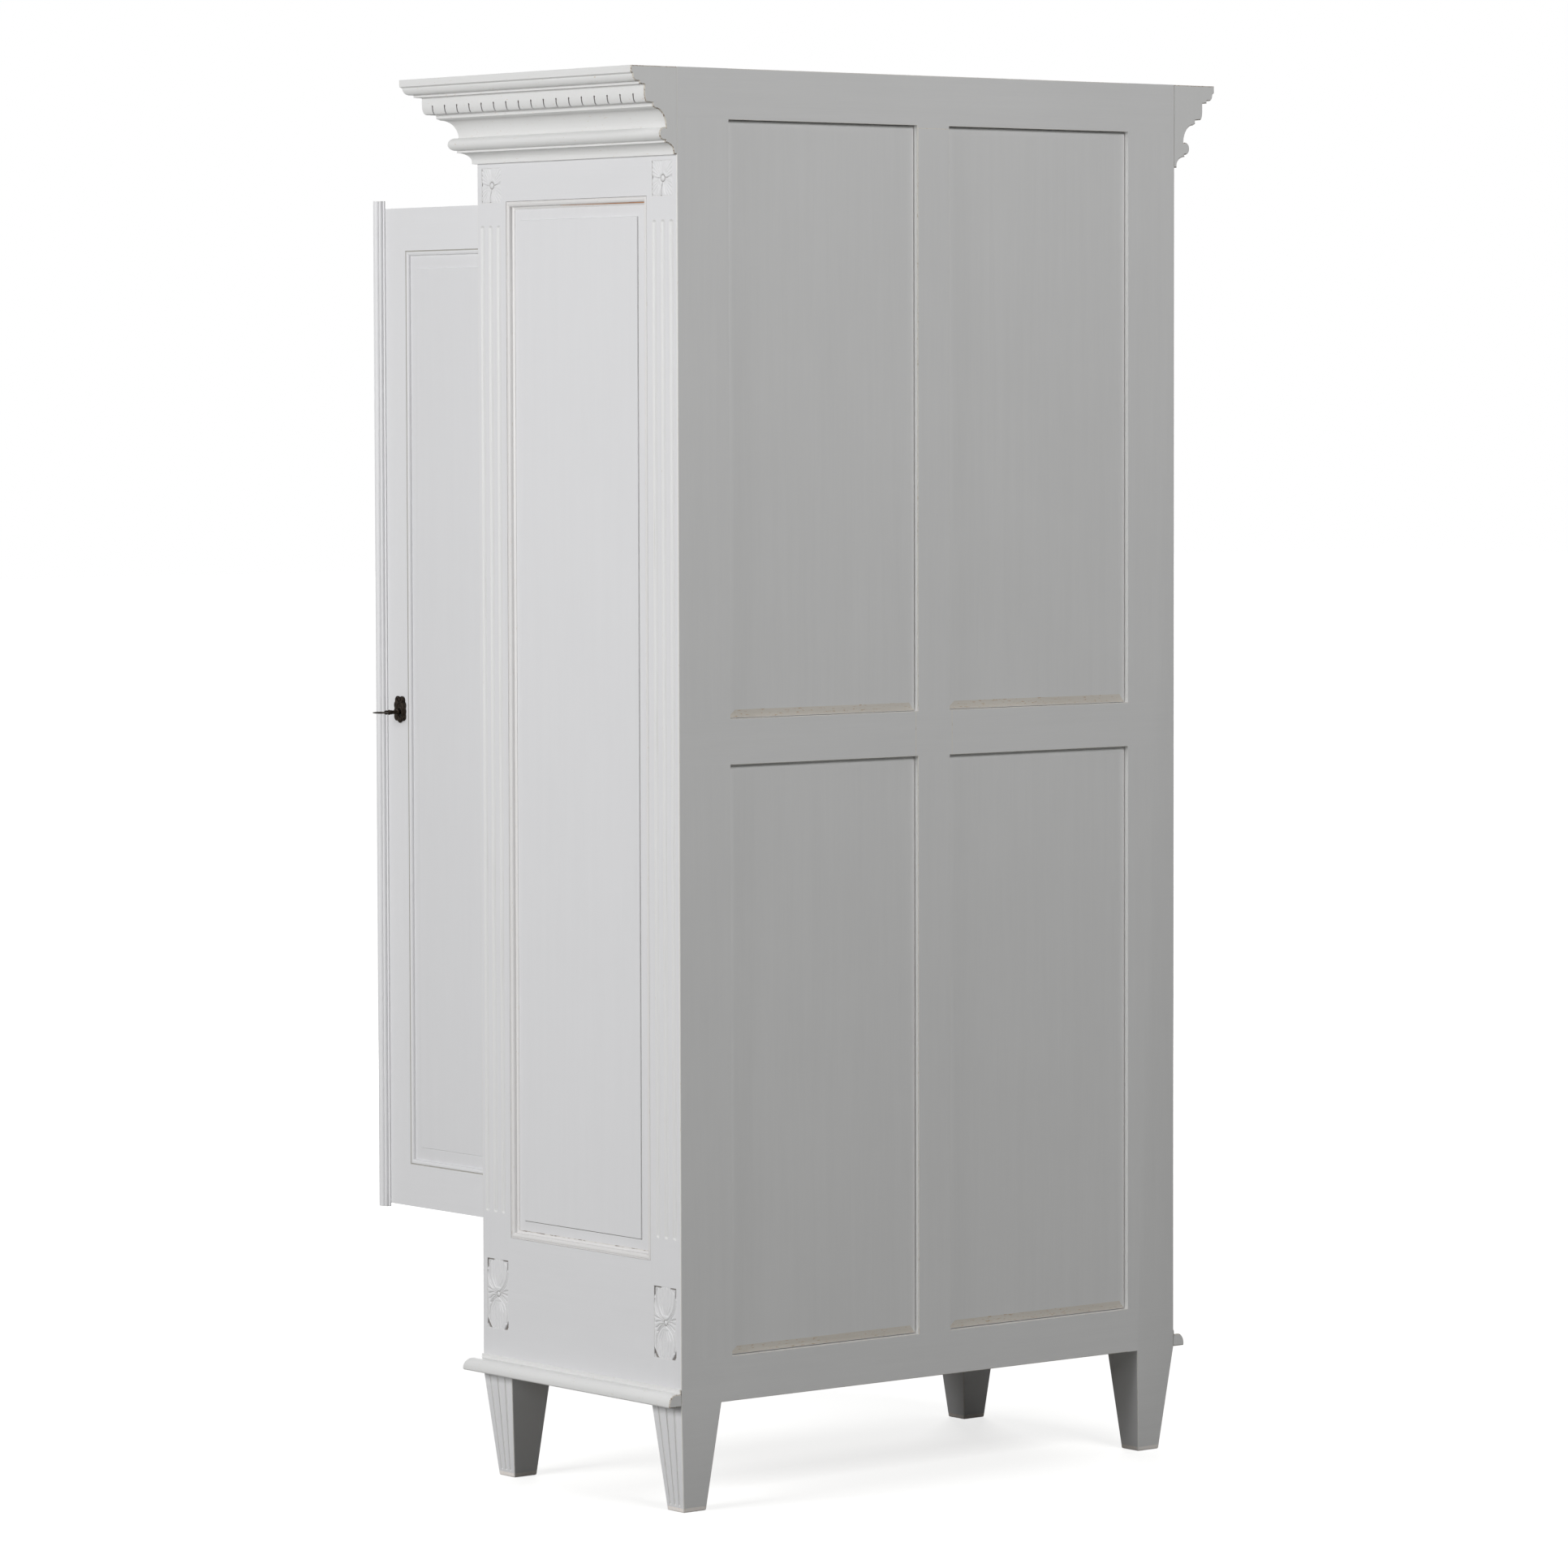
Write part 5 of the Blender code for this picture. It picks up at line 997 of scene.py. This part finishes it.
def cornice_section():
    """Reach and height from the top edge down: fascia, ovolo, dentil band, fillet, cove, round, ogee."""
    mm = [(77.0, 0.0), (77.0, -9.5), (74.0, -11.5)]
    mm += quarter(mm[-1], (67.0, -21.2), True, CURVE_STEPS)
    mm += [(62.8, -21.2), (62.8, -24.6), (54.5, -25.4), (54.5, -37.0)]
    mm += quarter(mm[-1], (50.0, -48.6), True, CURVE_STEPS // 2)
    mm += [(40.5, -49.4), (40.5, -53.9), (36.0, -56.4)]
    mm += quarter(mm[-1], (18.2, -81.4), False, CURVE_STEPS)
    for i in range(CURVE_STEPS + 3):
        angle = math.radians(95.0 - 190.0 * i / (CURVE_STEPS + 2))
        mm.append((20.5 + 8.8 * math.cos(angle), -89.7 + 8.8 * math.sin(angle)))
    mm += [(20.5, -101.4)]
    mm += quarter(mm[-1], (5.2, -113.5), False, CURVE_STEPS)
    mm += [(5.2, -117.0), (0.0, -117.0), (0.0, 0.0)]
    return [(reach * MM, HEIGHT + drop * MM) for reach, drop in mm]


def base_section():
    """Reach and height of the base moulding: shallow fillet, ledge and a bold round."""
    mm = [(0.0, 23.5), (1.2, 23.5), (1.5, 23.2), (1.5, 17.6), (1.9, 17.4), (8.7, 17.4)]
    mm += quarter(mm[-1], (20.5, 3.0), False, CURVE_STEPS)
    mm += [(20.5, 1.5), (19.5, 0.0), (0.0, 0.0)]
    return [(reach * MM, FOOT_HEIGHT + rise * MM) for reach, rise in mm]


def section_run(name, section, place, run):
    """A closed section as a filled ring, each of its points placed, then extruded along its run."""
    deselect()
    bpy.ops.mesh.primitive_circle_add(vertices=len(section), radius=1.0, fill_type="NGON")
    piece = bpy.context.active_object
    for vertex, point in zip(piece.data.vertices, section):
        vertex.co = place(*point)
    open_mesh(piece)
    bpy.ops.mesh.extrude_region_move(TRANSFORM_OT_translate={"value": run})
    close_mesh()
    return named(piece, name)


def mitre(piece, corner, normal):
    """Saw a run off at a corner, keeping the side that the normal points to."""
    open_mesh(piece)
    bpy.ops.mesh.bisect(plane_co=corner, plane_no=normal, use_fill=True, clear_inner=True)
    close_mesh()
    face_outward(piece)


def moulding_pair(kind, section):
    """The right-hand length, from the mitre to the back, and the front length between two mitres."""
    side = section_run(kind + "_run_right", section,
                       lambda reach, height: (HALF_WIDTH + reach, BACK_Y, height),
                       (0.0, FRONT_Y - BACK_Y - LONG, 0.0))
    mitre(side, (HALF_WIDTH, FRONT_Y, 0.0), (1.0, 1.0, 0.0))
    front = section_run(kind + "_run_front", section,
                        lambda reach, height: (-HALF_WIDTH - LONG, FRONT_Y - reach, height),
                        (2 * (HALF_WIDTH + LONG), 0.0, 0.0))
    mitre(front, (HALF_WIDTH, FRONT_Y, 0.0), (-1.0, -1.0, 0.0))
    mitre(front, (-HALF_WIDTH, FRONT_Y, 0.0), (1.0, -1.0, 0.0))
    return side, front


def dentil_tool(place, along, outward):
    """Saw for one slit of the dentil band, with the small drill hole at its top."""
    half = DENTIL_SLIT / 2
    low = place - outward * DENTIL_CUT - along * half
    high = place + outward * 0.03 + along * half
    low.z = DENTIL_BASE - 0.4 * MM
    high.z = DENTIL_SLIT_TOP
    saw = block("saw", low, high)
    centre = Vector((place.x, place.y, DENTIL_SLIT_TOP))
    drill = rod("drill", centre - outward * 3.0 * MM, centre + outward * 0.02, DENTIL_DRILL, 16)
    return combine(saw, drill, "UNION")


def dentil_places(length):
    spaces = int((length - 2 * DENTIL_END_LEAST) / DENTIL_PITCH)
    first = (length - spaces * DENTIL_PITCH) / 2
    return [first + k * DENTIL_PITCH for k in range(spaces + 1)]


def cut_dentils(run, start, along, outward, length):
    master = dentil_tool(start, along, outward)
    tools = []
    for place in dentil_places(length):
        tool = duplicate(master, "slit")
        tool.location = along * place
        tools.append(settle(tool))
    bpy.data.objects.remove(master, do_unlink=True)
    tools = join("slits", tools)
    paint_with(tools, carving_paint)
    combine(run, tools, "DIFFERENCE")


DENTIL_X = HALF_WIDTH + DENTIL_REACH
DENTIL_Y = FRONT_Y - DENTIL_REACH
for kind, section in (("cornice", cornice_section()), ("base_moulding", base_section())):
    side, front = moulding_pair(kind, section)
    paint_with(side, cornice_paint, arris_paint, end_cut_paint, chipped_rim_paint)
    paint_with(front, cornice_front_paint, arris_paint)
    if kind == "cornice":
        cut_dentils(side, Vector((DENTIL_X, BACK_Y, 0.0)), -BACKWARD, RIGHTWARD, BACK_Y - DENTIL_Y)
        cut_dentils(front, Vector((-DENTIL_X, DENTIL_Y, 0.0)), RIGHTWARD, -BACKWARD, 2 * DENTIL_X)
    slot_faces(side, 2, lambda centre, normal: normal.y > 0.9 and centre.y > BACK_Y - NEAR)
    bevel_edges(side, lambda a, b: min(a.y, b.y) > BACK_Y - NEAR and max(a.x, b.x) > HALF_WIDTH + MM,
                SAWN_RIM, 1, 3)
    smooth(side, 20.0)
    smooth(front, 20.0)
    hand_over(mirrored(side, kind + "_run_left"), kind + "_left", slot="cream_worn_paint")
    hand_over(side, kind + "_right", slot="cream_worn_paint")
    hand_over(front, kind + "_front", slot="cream_worn_paint")


def astragal_section():
    """Distance from the outer edge and rise: a broad round, a quirk and a small bead."""
    w, h = 21.2, 8.5
    mm = [(0.0, -0.3), (0.0, h * 0.40)]
    for k in range(1, 2 * CURVE_STEPS):
        angle = math.pi * k / (2 * CURVE_STEPS)
        mm.append((w * 0.29 * (1.0 - math.cos(angle)), h * (0.40 + 0.60 * math.sin(angle))))
    mm += [(w * 0.58, h * 0.40), (w * 0.60, h * 0.30), (w * 0.62, h * 0.40)]
    for k in range(CURVE_STEPS + 1):
        angle = math.pi * k / CURVE_STEPS
        mm.append((w * (0.755 - 0.135 * math.cos(angle)), h * (0.42 + 0.36 * math.sin(angle))))
    mm += [(w * 0.90, h * 0.24), (w, h * 0.16), (w, -0.3)]
    return [(across * MM, rise * MM) for across, rise in mm]


low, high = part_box("astragal")
astragal = section_run("beaded_astragal", astragal_section(),
                       lambda across, rise: (low.x + rise, low.y + across, low.z),
                       (0.0, 0.0, high.z - low.z))
face_outward(astragal)
paint_with(astragal, astragal_paint, arris_paint)
bevel_edges(astragal, lambda a, b: abs(a.z - b.z) < NEAR, FINE_ARRIS, 1, 1)
smooth(astragal, 20.0)
hand_over(astragal, "astragal", body="right_door")


# Ironwork

SCREW_RADIUS = 3.0 * MM
SCREW_TURN = math.radians(67.0)
LEAF_SCREW_PITCH = 25.0 * MM


def countersunk_screw():
    """A screw head with its slot, its top at height zero."""
    head = rod("screw", (0.0, 0.0, -MM), (0.0, 0.0, 0.0), SCREW_RADIUS)
    bevel_edges(head, lambda a, b: min(a.z, b.z) > -NEAR, 0.3 * MM)
    slot = block("slot", (-4.0 * MM, -0.35 * MM, -0.5 * MM), (4.0 * MM, 0.35 * MM, MM))
    combine(head, slot, "DIFFERENCE")
    smooth(head, 30.0)
    return head


def screws(name, body, slot, radius, outward, spots):
    """Screws driven at several spots of one plate, joined as one piece."""
    heads = []
    for i, spot in enumerate(spots):
        head = duplicate(screw, "head")
        head.scale = (radius / SCREW_RADIUS, radius / SCREW_RADIUS, 1.0)
        settle(head)
        lean = Matrix.Rotation(math.radians(25.0) + SCREW_TURN * i, 3, outward) @ UPWARD
        heads.append(turned_to(head, Vector(spot), lean, outward))
    piece = paint_with(join(name, heads), brass if slot == "aged_brass" else steel)
    hand_over(piece, slot=slot, body=body)


screw = countersunk_screw()


def hinge_leaf(node, body, outward, middle):
    """A leaf with its three countersunk holes and screws."""
    low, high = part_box(node)
    leaf = cad_copy(node, "drilled_" + node)
    height = (low.z + high.z) / 2
    spots = []
    tools = []
    for k in (-1, 0, 1):
        spot = Vector(middle)
        spot.z = height + k * LEAF_SCREW_PITCH
        spots.append(spot - outward * 0.12 * MM)
        tools.append(rod("sink", spot - outward * 2.0 * MM, spot + outward * 0.2 * MM, 1.6 * MM, 20,
                         3.5 * MM))
    combine(leaf, join("sinks", tools), "DIFFERENCE")
    paint_with(leaf, steel)
    smooth(leaf, 40.0)
    hand_over(leaf, node, slot="dull_steel", body=body)
    screws("screws_" + node, body, "dull_steel", SCREW_RADIUS, outward, spots)


PIN_X = 358.5 * MM
PIN_Y = -43.25 * MM
LEAF_MIDDLE = 13.6 * MM
LEAF_FACE = 0.1 * MM
for index in ("1", "2"):
    for way, hand in ((1.0, "right"), (-1.0, "left")):
        hinge_leaf("hinge_post_leaf_" + hand + "_" + index, "case", -RIGHTWARD * way,
                   (way * (PIN_X + LEAF_FACE), PIN_Y + LEAF_MIDDLE, 0.0))
    hinge_leaf("hinge_door_leaf_right_" + index, "right_door", BACKWARD,
               (PIN_X - LEAF_MIDDLE, PIN_Y - LEAF_FACE, 0.0))
    hinge_leaf("hinge_door_leaf_left_" + index, "left_door", -RIGHTWARD,
               (LEAF_FACE - PIN_X, PIN_Y + LEAF_MIDDLE, 0.0))


def escutcheon_edge(centre, count):
    """Points round the body and its lobes, each as far out as any lobe reaches."""
    lobes = [(0.0, 0.0, 12.6), (0.0, -14.0, 5.6)]
    for y, z, radius in ((5.2, 12.6, 6.4), (7.0, 5.5, 7.0), (6.8, -3.0, 7.2), (7.4, -10.4, 6.4)):
        lobes += [(-y, z, radius), (y, z, radius)]
    points = []
    for i in range(count):
        angle = 2 * math.pi * i / count
        reach = 0.0
        for y, z, radius in lobes:
            along = math.cos(angle) * y + math.sin(angle) * z
            inside = radius * radius - (y * y + z * z - along * along)
            if inside > 0.0:
                reach = max(reach, along + math.sqrt(inside))
        points.append((centre.y + math.cos(angle) * reach * MM, centre.z + math.sin(angle) * reach * MM))
    return points


def ring(name, centre, radius, wire, stretch=1.0):
    """A wire ring flat against the door, drawn out upwards."""
    deselect()
    bpy.ops.mesh.primitive_torus_add(major_segments=40, minor_segments=10, major_radius=radius,
                                     minor_radius=wire, location=centre, rotation=(0.0, math.pi / 2, 0.0))
    piece = bpy.context.active_object
    piece.scale = (stretch, 1.0, 1.0)
    settle(piece, name)
    smooth(piece, 60.0)
    return piece


KEYHOLE_HEIGHT = 1057.5 * MM
low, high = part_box("escutcheon")
plate_centre = Vector((low.x, -360.25 * MM, 1061.5 * MM))
plate = section_run("cast_escutcheon", escutcheon_edge(plate_centre, 96),
                    lambda across, height: (low.x, across, height), (high.x - low.x, 0.0, 0.0))
face_outward(plate)
select_faces(plate, lambda centre, normal: normal.x > 0.9)
bpy.ops.mesh.inset(thickness=1.1 * MM, depth=-0.5 * MM)
close_mesh()
parts = [plate]
for across, height, radius in ((-4.6, 13.4, 3.0), (4.6, 13.4, 3.0), (-8.0, -11.2, 2.4), (8.0, -11.2, 2.4),
                               (0.0, -14.4, 2.8)):
    spot = plate_centre + Vector((1.2 * MM, across * MM, height * MM))
    parts.append(ring("lobe_ring", spot, radius * MM, 0.85 * MM))
    parts.append(rod("boss", spot - RIGHTWARD * MM, spot + RIGHTWARD * 0.5 * MM, 1.3 * MM, 16))
for name, rise, drop, radius, stretch in (("border", 1.1, 1.0, 8.6, 1.25),
                                          ("keyhole_collar", 1.2, 6.0, 5.4, 1.5)):
    parts.append(ring(name, plate_centre + Vector((rise * MM, 0.0, -drop * MM)), radius * MM,
                      0.8 * MM, stretch))
keyhole = rod("keyhole", (low.x - MM, plate_centre.y, KEYHOLE_HEIGHT),
              (high.x + MM, plate_centre.y, KEYHOLE_HEIGHT), 3.6 * MM)
slot = block("key_slot", (low.x - MM, plate_centre.y - 1.7 * MM, KEYHOLE_HEIGHT - 11.0 * MM),
             (high.x + MM, plate_centre.y + 1.7 * MM, KEYHOLE_HEIGHT))
combine(plate, combine(keyhole, slot, "UNION"), "DIFFERENCE")
escutcheon = join("cast_escutcheon", parts)
paint_with(escutcheon, iron)
smooth(escutcheon, 40.0)
hand_over(escutcheon, "escutcheon", slot="dark_iron", body="right_door")

# The key: ring bow, three beads, collar, shank and bit, its axis along X through the keyhole
KEY_CENTRE = Vector((0.0, plate_centre.y, KEYHOLE_HEIGHT))


def key_point(x):
    return KEY_CENTRE + RIGHTWARD * x * MM


deselect()
bpy.ops.mesh.primitive_torus_add(major_segments=48, minor_segments=12, major_radius=8.5 * MM,
                                 minor_radius=1.9 * MM, location=key_point(389.4))
bow = bpy.context.active_object
bow.scale = (1.0, 1.35, 0.52)
settle(bow, "bow")
parts = [bow, rod("shank", key_point(319.2), key_point(381.4), 2.8 * MM, 32)]
for near, far, radius in ((377.6, 380.8, 3.2), (372.8, 376.4, 3.7), (369.6, 371.8, 3.2),
                          (358.8, 361.2, 3.9)):
    bead = rod("bead", key_point(near), key_point(far), radius * MM, 32)
    arris_modifier(bead, (far - near) * 0.42 * MM, 40.0, 3)
    parts.append(bead)
bit = block("bit", key_point(319.6) - Vector((0.0, 0.0, 1.2 * MM)),
            key_point(325.4) + Vector((0.0, 9.0 * MM, 1.2 * MM)))
combine(bit, block("ward", key_point(321.6) + Vector((0.0, 4.5 * MM, -2.0 * MM)),
                   key_point(322.6) + Vector((0.0, 12.0 * MM, 2.0 * MM))), "DIFFERENCE")
parts.append(bit)
key = join("ring_bow_key", parts)
paint_with(key, iron)
smooth(key, 40.0)
hand_over(key, "key", slot="dark_iron", body="door_key")

# Lock case, keeper, slide bolts, rod sockets and boards
for node, body, slot, material, width, soft in (
        ("lock_case", "right_door", "dark_iron", iron, 0.8, 40.0),
        ("lock_keeper", "left_door", "dark_iron", iron, 0.4, 40.0),
        ("top_bolt_plate", "left_door", "dark_iron", iron, 0.2, 40.0),
        ("bottom_bolt_plate", "left_door", "dark_iron", iron, 0.2, 40.0),
        ("rod_socket_left", "case", "aged_brass", brass, 0.5, 40.0),
        ("rod_socket_right", "case", "aged_brass", brass, 0.5, 40.0),
        ("lock_bolt", "latch_bolt", "aged_brass", brass, 0.4, 40.0),
        ("floor_board", "case", "bare_pine", pine, 0.8, 20.0),
        ("roof_board", "case", "bare_pine", pine, 0.8, 20.0),
        ("hat_shelf", "case", "bare_pine", pine, 0.8, 20.0),
        ("shelf_batten_left", "case", "bare_pine", pine_sides, 0.8, 20.0),
        ("shelf_batten_right", "case", "bare_pine", pine_sides, 0.8, 20.0)):
    hand_over(eased_copy(node, width * MM, [material], 40.0, soft), node, slot=slot, body=body)
low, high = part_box("lock_case")
screws("lock_case_screws", "right_door", "dull_steel", 2.4 * MM, -RIGHTWARD,
       [(low.x - 0.3 * MM, y, z) for y in (low.y + 5.5 * MM, high.y - 5.5 * MM)
        for z in (low.z + 5.5 * MM, high.z - 5.5 * MM)])
low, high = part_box("lock_keeper")
screws("keeper_screws", "left_door", "dull_steel", 1.7 * MM, BACKWARD,
       [((low.x + high.x) / 2, high.y + 0.3 * MM, z) for z in (low.z + 3.6 * MM, high.z - 3.6 * MM)])
for node in ("top_bolt_plate", "bottom_bolt_plate"):
    low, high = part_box(node)
    middle = (low + high) / 2
    screws(node + "_screws", "left_door", "dull_steel", 1.7 * MM, BACKWARD,
           [(middle.x + a * 9.0 * MM, low.y + 1.7 * MM, middle.z + b * 12.0 * MM)
            for a in (-1, 1) for b in (-1, 1)])
SOCKET_FACE_X = 338.3 * MM
for way, node in ((1.0, "rod_socket_right"), (-1.0, "rod_socket_left")):
    low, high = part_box(node)
    middle = (low + high) / 2
    screws(node + "_screws", "case", "aged_brass", 1.8 * MM, -RIGHTWARD * way,
           [(way * SOCKET_FACE_X, middle.y, middle.z + b * 22.4 * MM) for b in (-1, 1)])
bpy.data.objects.remove(screw, do_unlink=True)


# Camera, where the photograph was taken from
CAMERA_PLACE = (5.9042, 7.4078, 1.508)
CAMERA_YAW = math.radians(38.862)
CAMERA_PITCH = math.radians(3.339)
CAMERA_ROLL = math.radians(-0.153)
CAMERA_LENS = 151.93

deselect()
bpy.ops.object.camera_add()
camera = bpy.context.active_object
camera.name = "camera"
camera.data.lens = CAMERA_LENS
camera.data.sensor_width = 36.0
camera.data.dof.use_dof = False
camera.data.clip_end = 200.0
camera.matrix_world = (Matrix.Translation(CAMERA_PLACE) @ Matrix.Rotation(math.pi - CAMERA_YAW, 4, "Z")
                       @ Matrix.Rotation(math.pi / 2 - CAMERA_PITCH, 4, "X")
                       @ Matrix.Rotation(CAMERA_ROLL, 4, "Z"))
bpy.context.scene.camera = camera


# Light: a soft key on the right-hand end, a higher fill on the back, and one for the front and left end

def soft_light(name, place, target, width, height, watts):
    bpy.ops.object.light_add(type="AREA", location=place)
    lamp = bpy.context.active_object
    lamp.name = name
    lamp.data.shape = "RECTANGLE"
    lamp.data.size = width
    lamp.data.size_y = height
    lamp.data.energy = watts
    lamp.rotation_euler = (Vector(target) - Vector(place)).to_track_quat("-Z", "Y").to_euler()
    lamp.visible_camera = False


soft_light("key_softbox", (5.6, 0.0, 2.4), (0.2, 0.2, 1.1), 2.6, 2.6, 214.0)
soft_light("back_fill", (0.3, 5.4, 4.5), (0.0, 0.4, 1.3), 3.0, 2.0, 162.0)
soft_light("front_quarter_fill", (-3.9, -4.6, 3.0), (0.0, 0.0, 1.0), 2.6, 2.6, 180.0)

world = bpy.data.worlds.new("pale_studio")
bpy.context.scene.world = world
world.use_nodes = True
world.node_tree.nodes.clear()
rays = add_node(world, "LightPath").node.outputs
seen = add_node(world, "Math", {0: rays["Is Camera Ray"], 1: rays["Is Glossy Ray"]}, operation="MAXIMUM")
seen = add_node(world, "Math", {0: seen, 1: rays["Is Transmission Ray"]}, operation="MAXIMUM")
studio = add_node(world, "Background", {"Color": linear("FFFFFF"), "Strength": 0.084})
backdrop = add_node(world, "Background", {"Color": linear("FFFFFF"), "Strength": 1.0})
shown = add_node(world, "MixShader", {0: seen, 1: studio, 2: backdrop})
add_node(world, "OutputWorld", {"Surface": shown})

# Floor: it takes the soft shadow near the feet and fades into the white further out
FLOOR_SIZE = 80.0
deselect()
bpy.ops.mesh.primitive_plane_add(size=FLOOR_SIZE, location=(0.0, 0.0, -0.4 * MM))
floor = settle(bpy.context.active_object, "studio_floor")
floor_paint = new_material("matt_white_studio_floor")
floor_paint.node_tree.nodes.clear()
ground = add_node(floor_paint, "BsdfDiffuse", {"Color": linear("8A8A86")})
pale = add_node(floor_paint, "BsdfDiffuse", {"Color": linear("C8C8C6")})
spot = add_node(floor_paint, "TexCoord", out="Object")
away = add_node(floor_paint, "VectorMath", {0: spot}, "Value", operation="LENGTH")
level = add_node(floor_paint, "MapRange",
                 {"Value": away, "From Min": 1.2, "From Max": 3.5, "To Min": 0.74, "To Max": 1.0})
glow = add_node(floor_paint, "Emission", {"Color": linear("FFFFFF"), "Strength": level})
lit = add_node(floor_paint, "AddShader", {0: pale, 1: glow})
surface = add_node(floor_paint, "MixShader", {0: add_node(floor_paint, "LightPath"), 1: ground, 2: lit})
add_node(floor_paint, "OutputMaterial", {"Surface": surface})
floor.data.materials.append(floor_paint)

bpy.context.scene.view_settings.view_transform = "Standard"
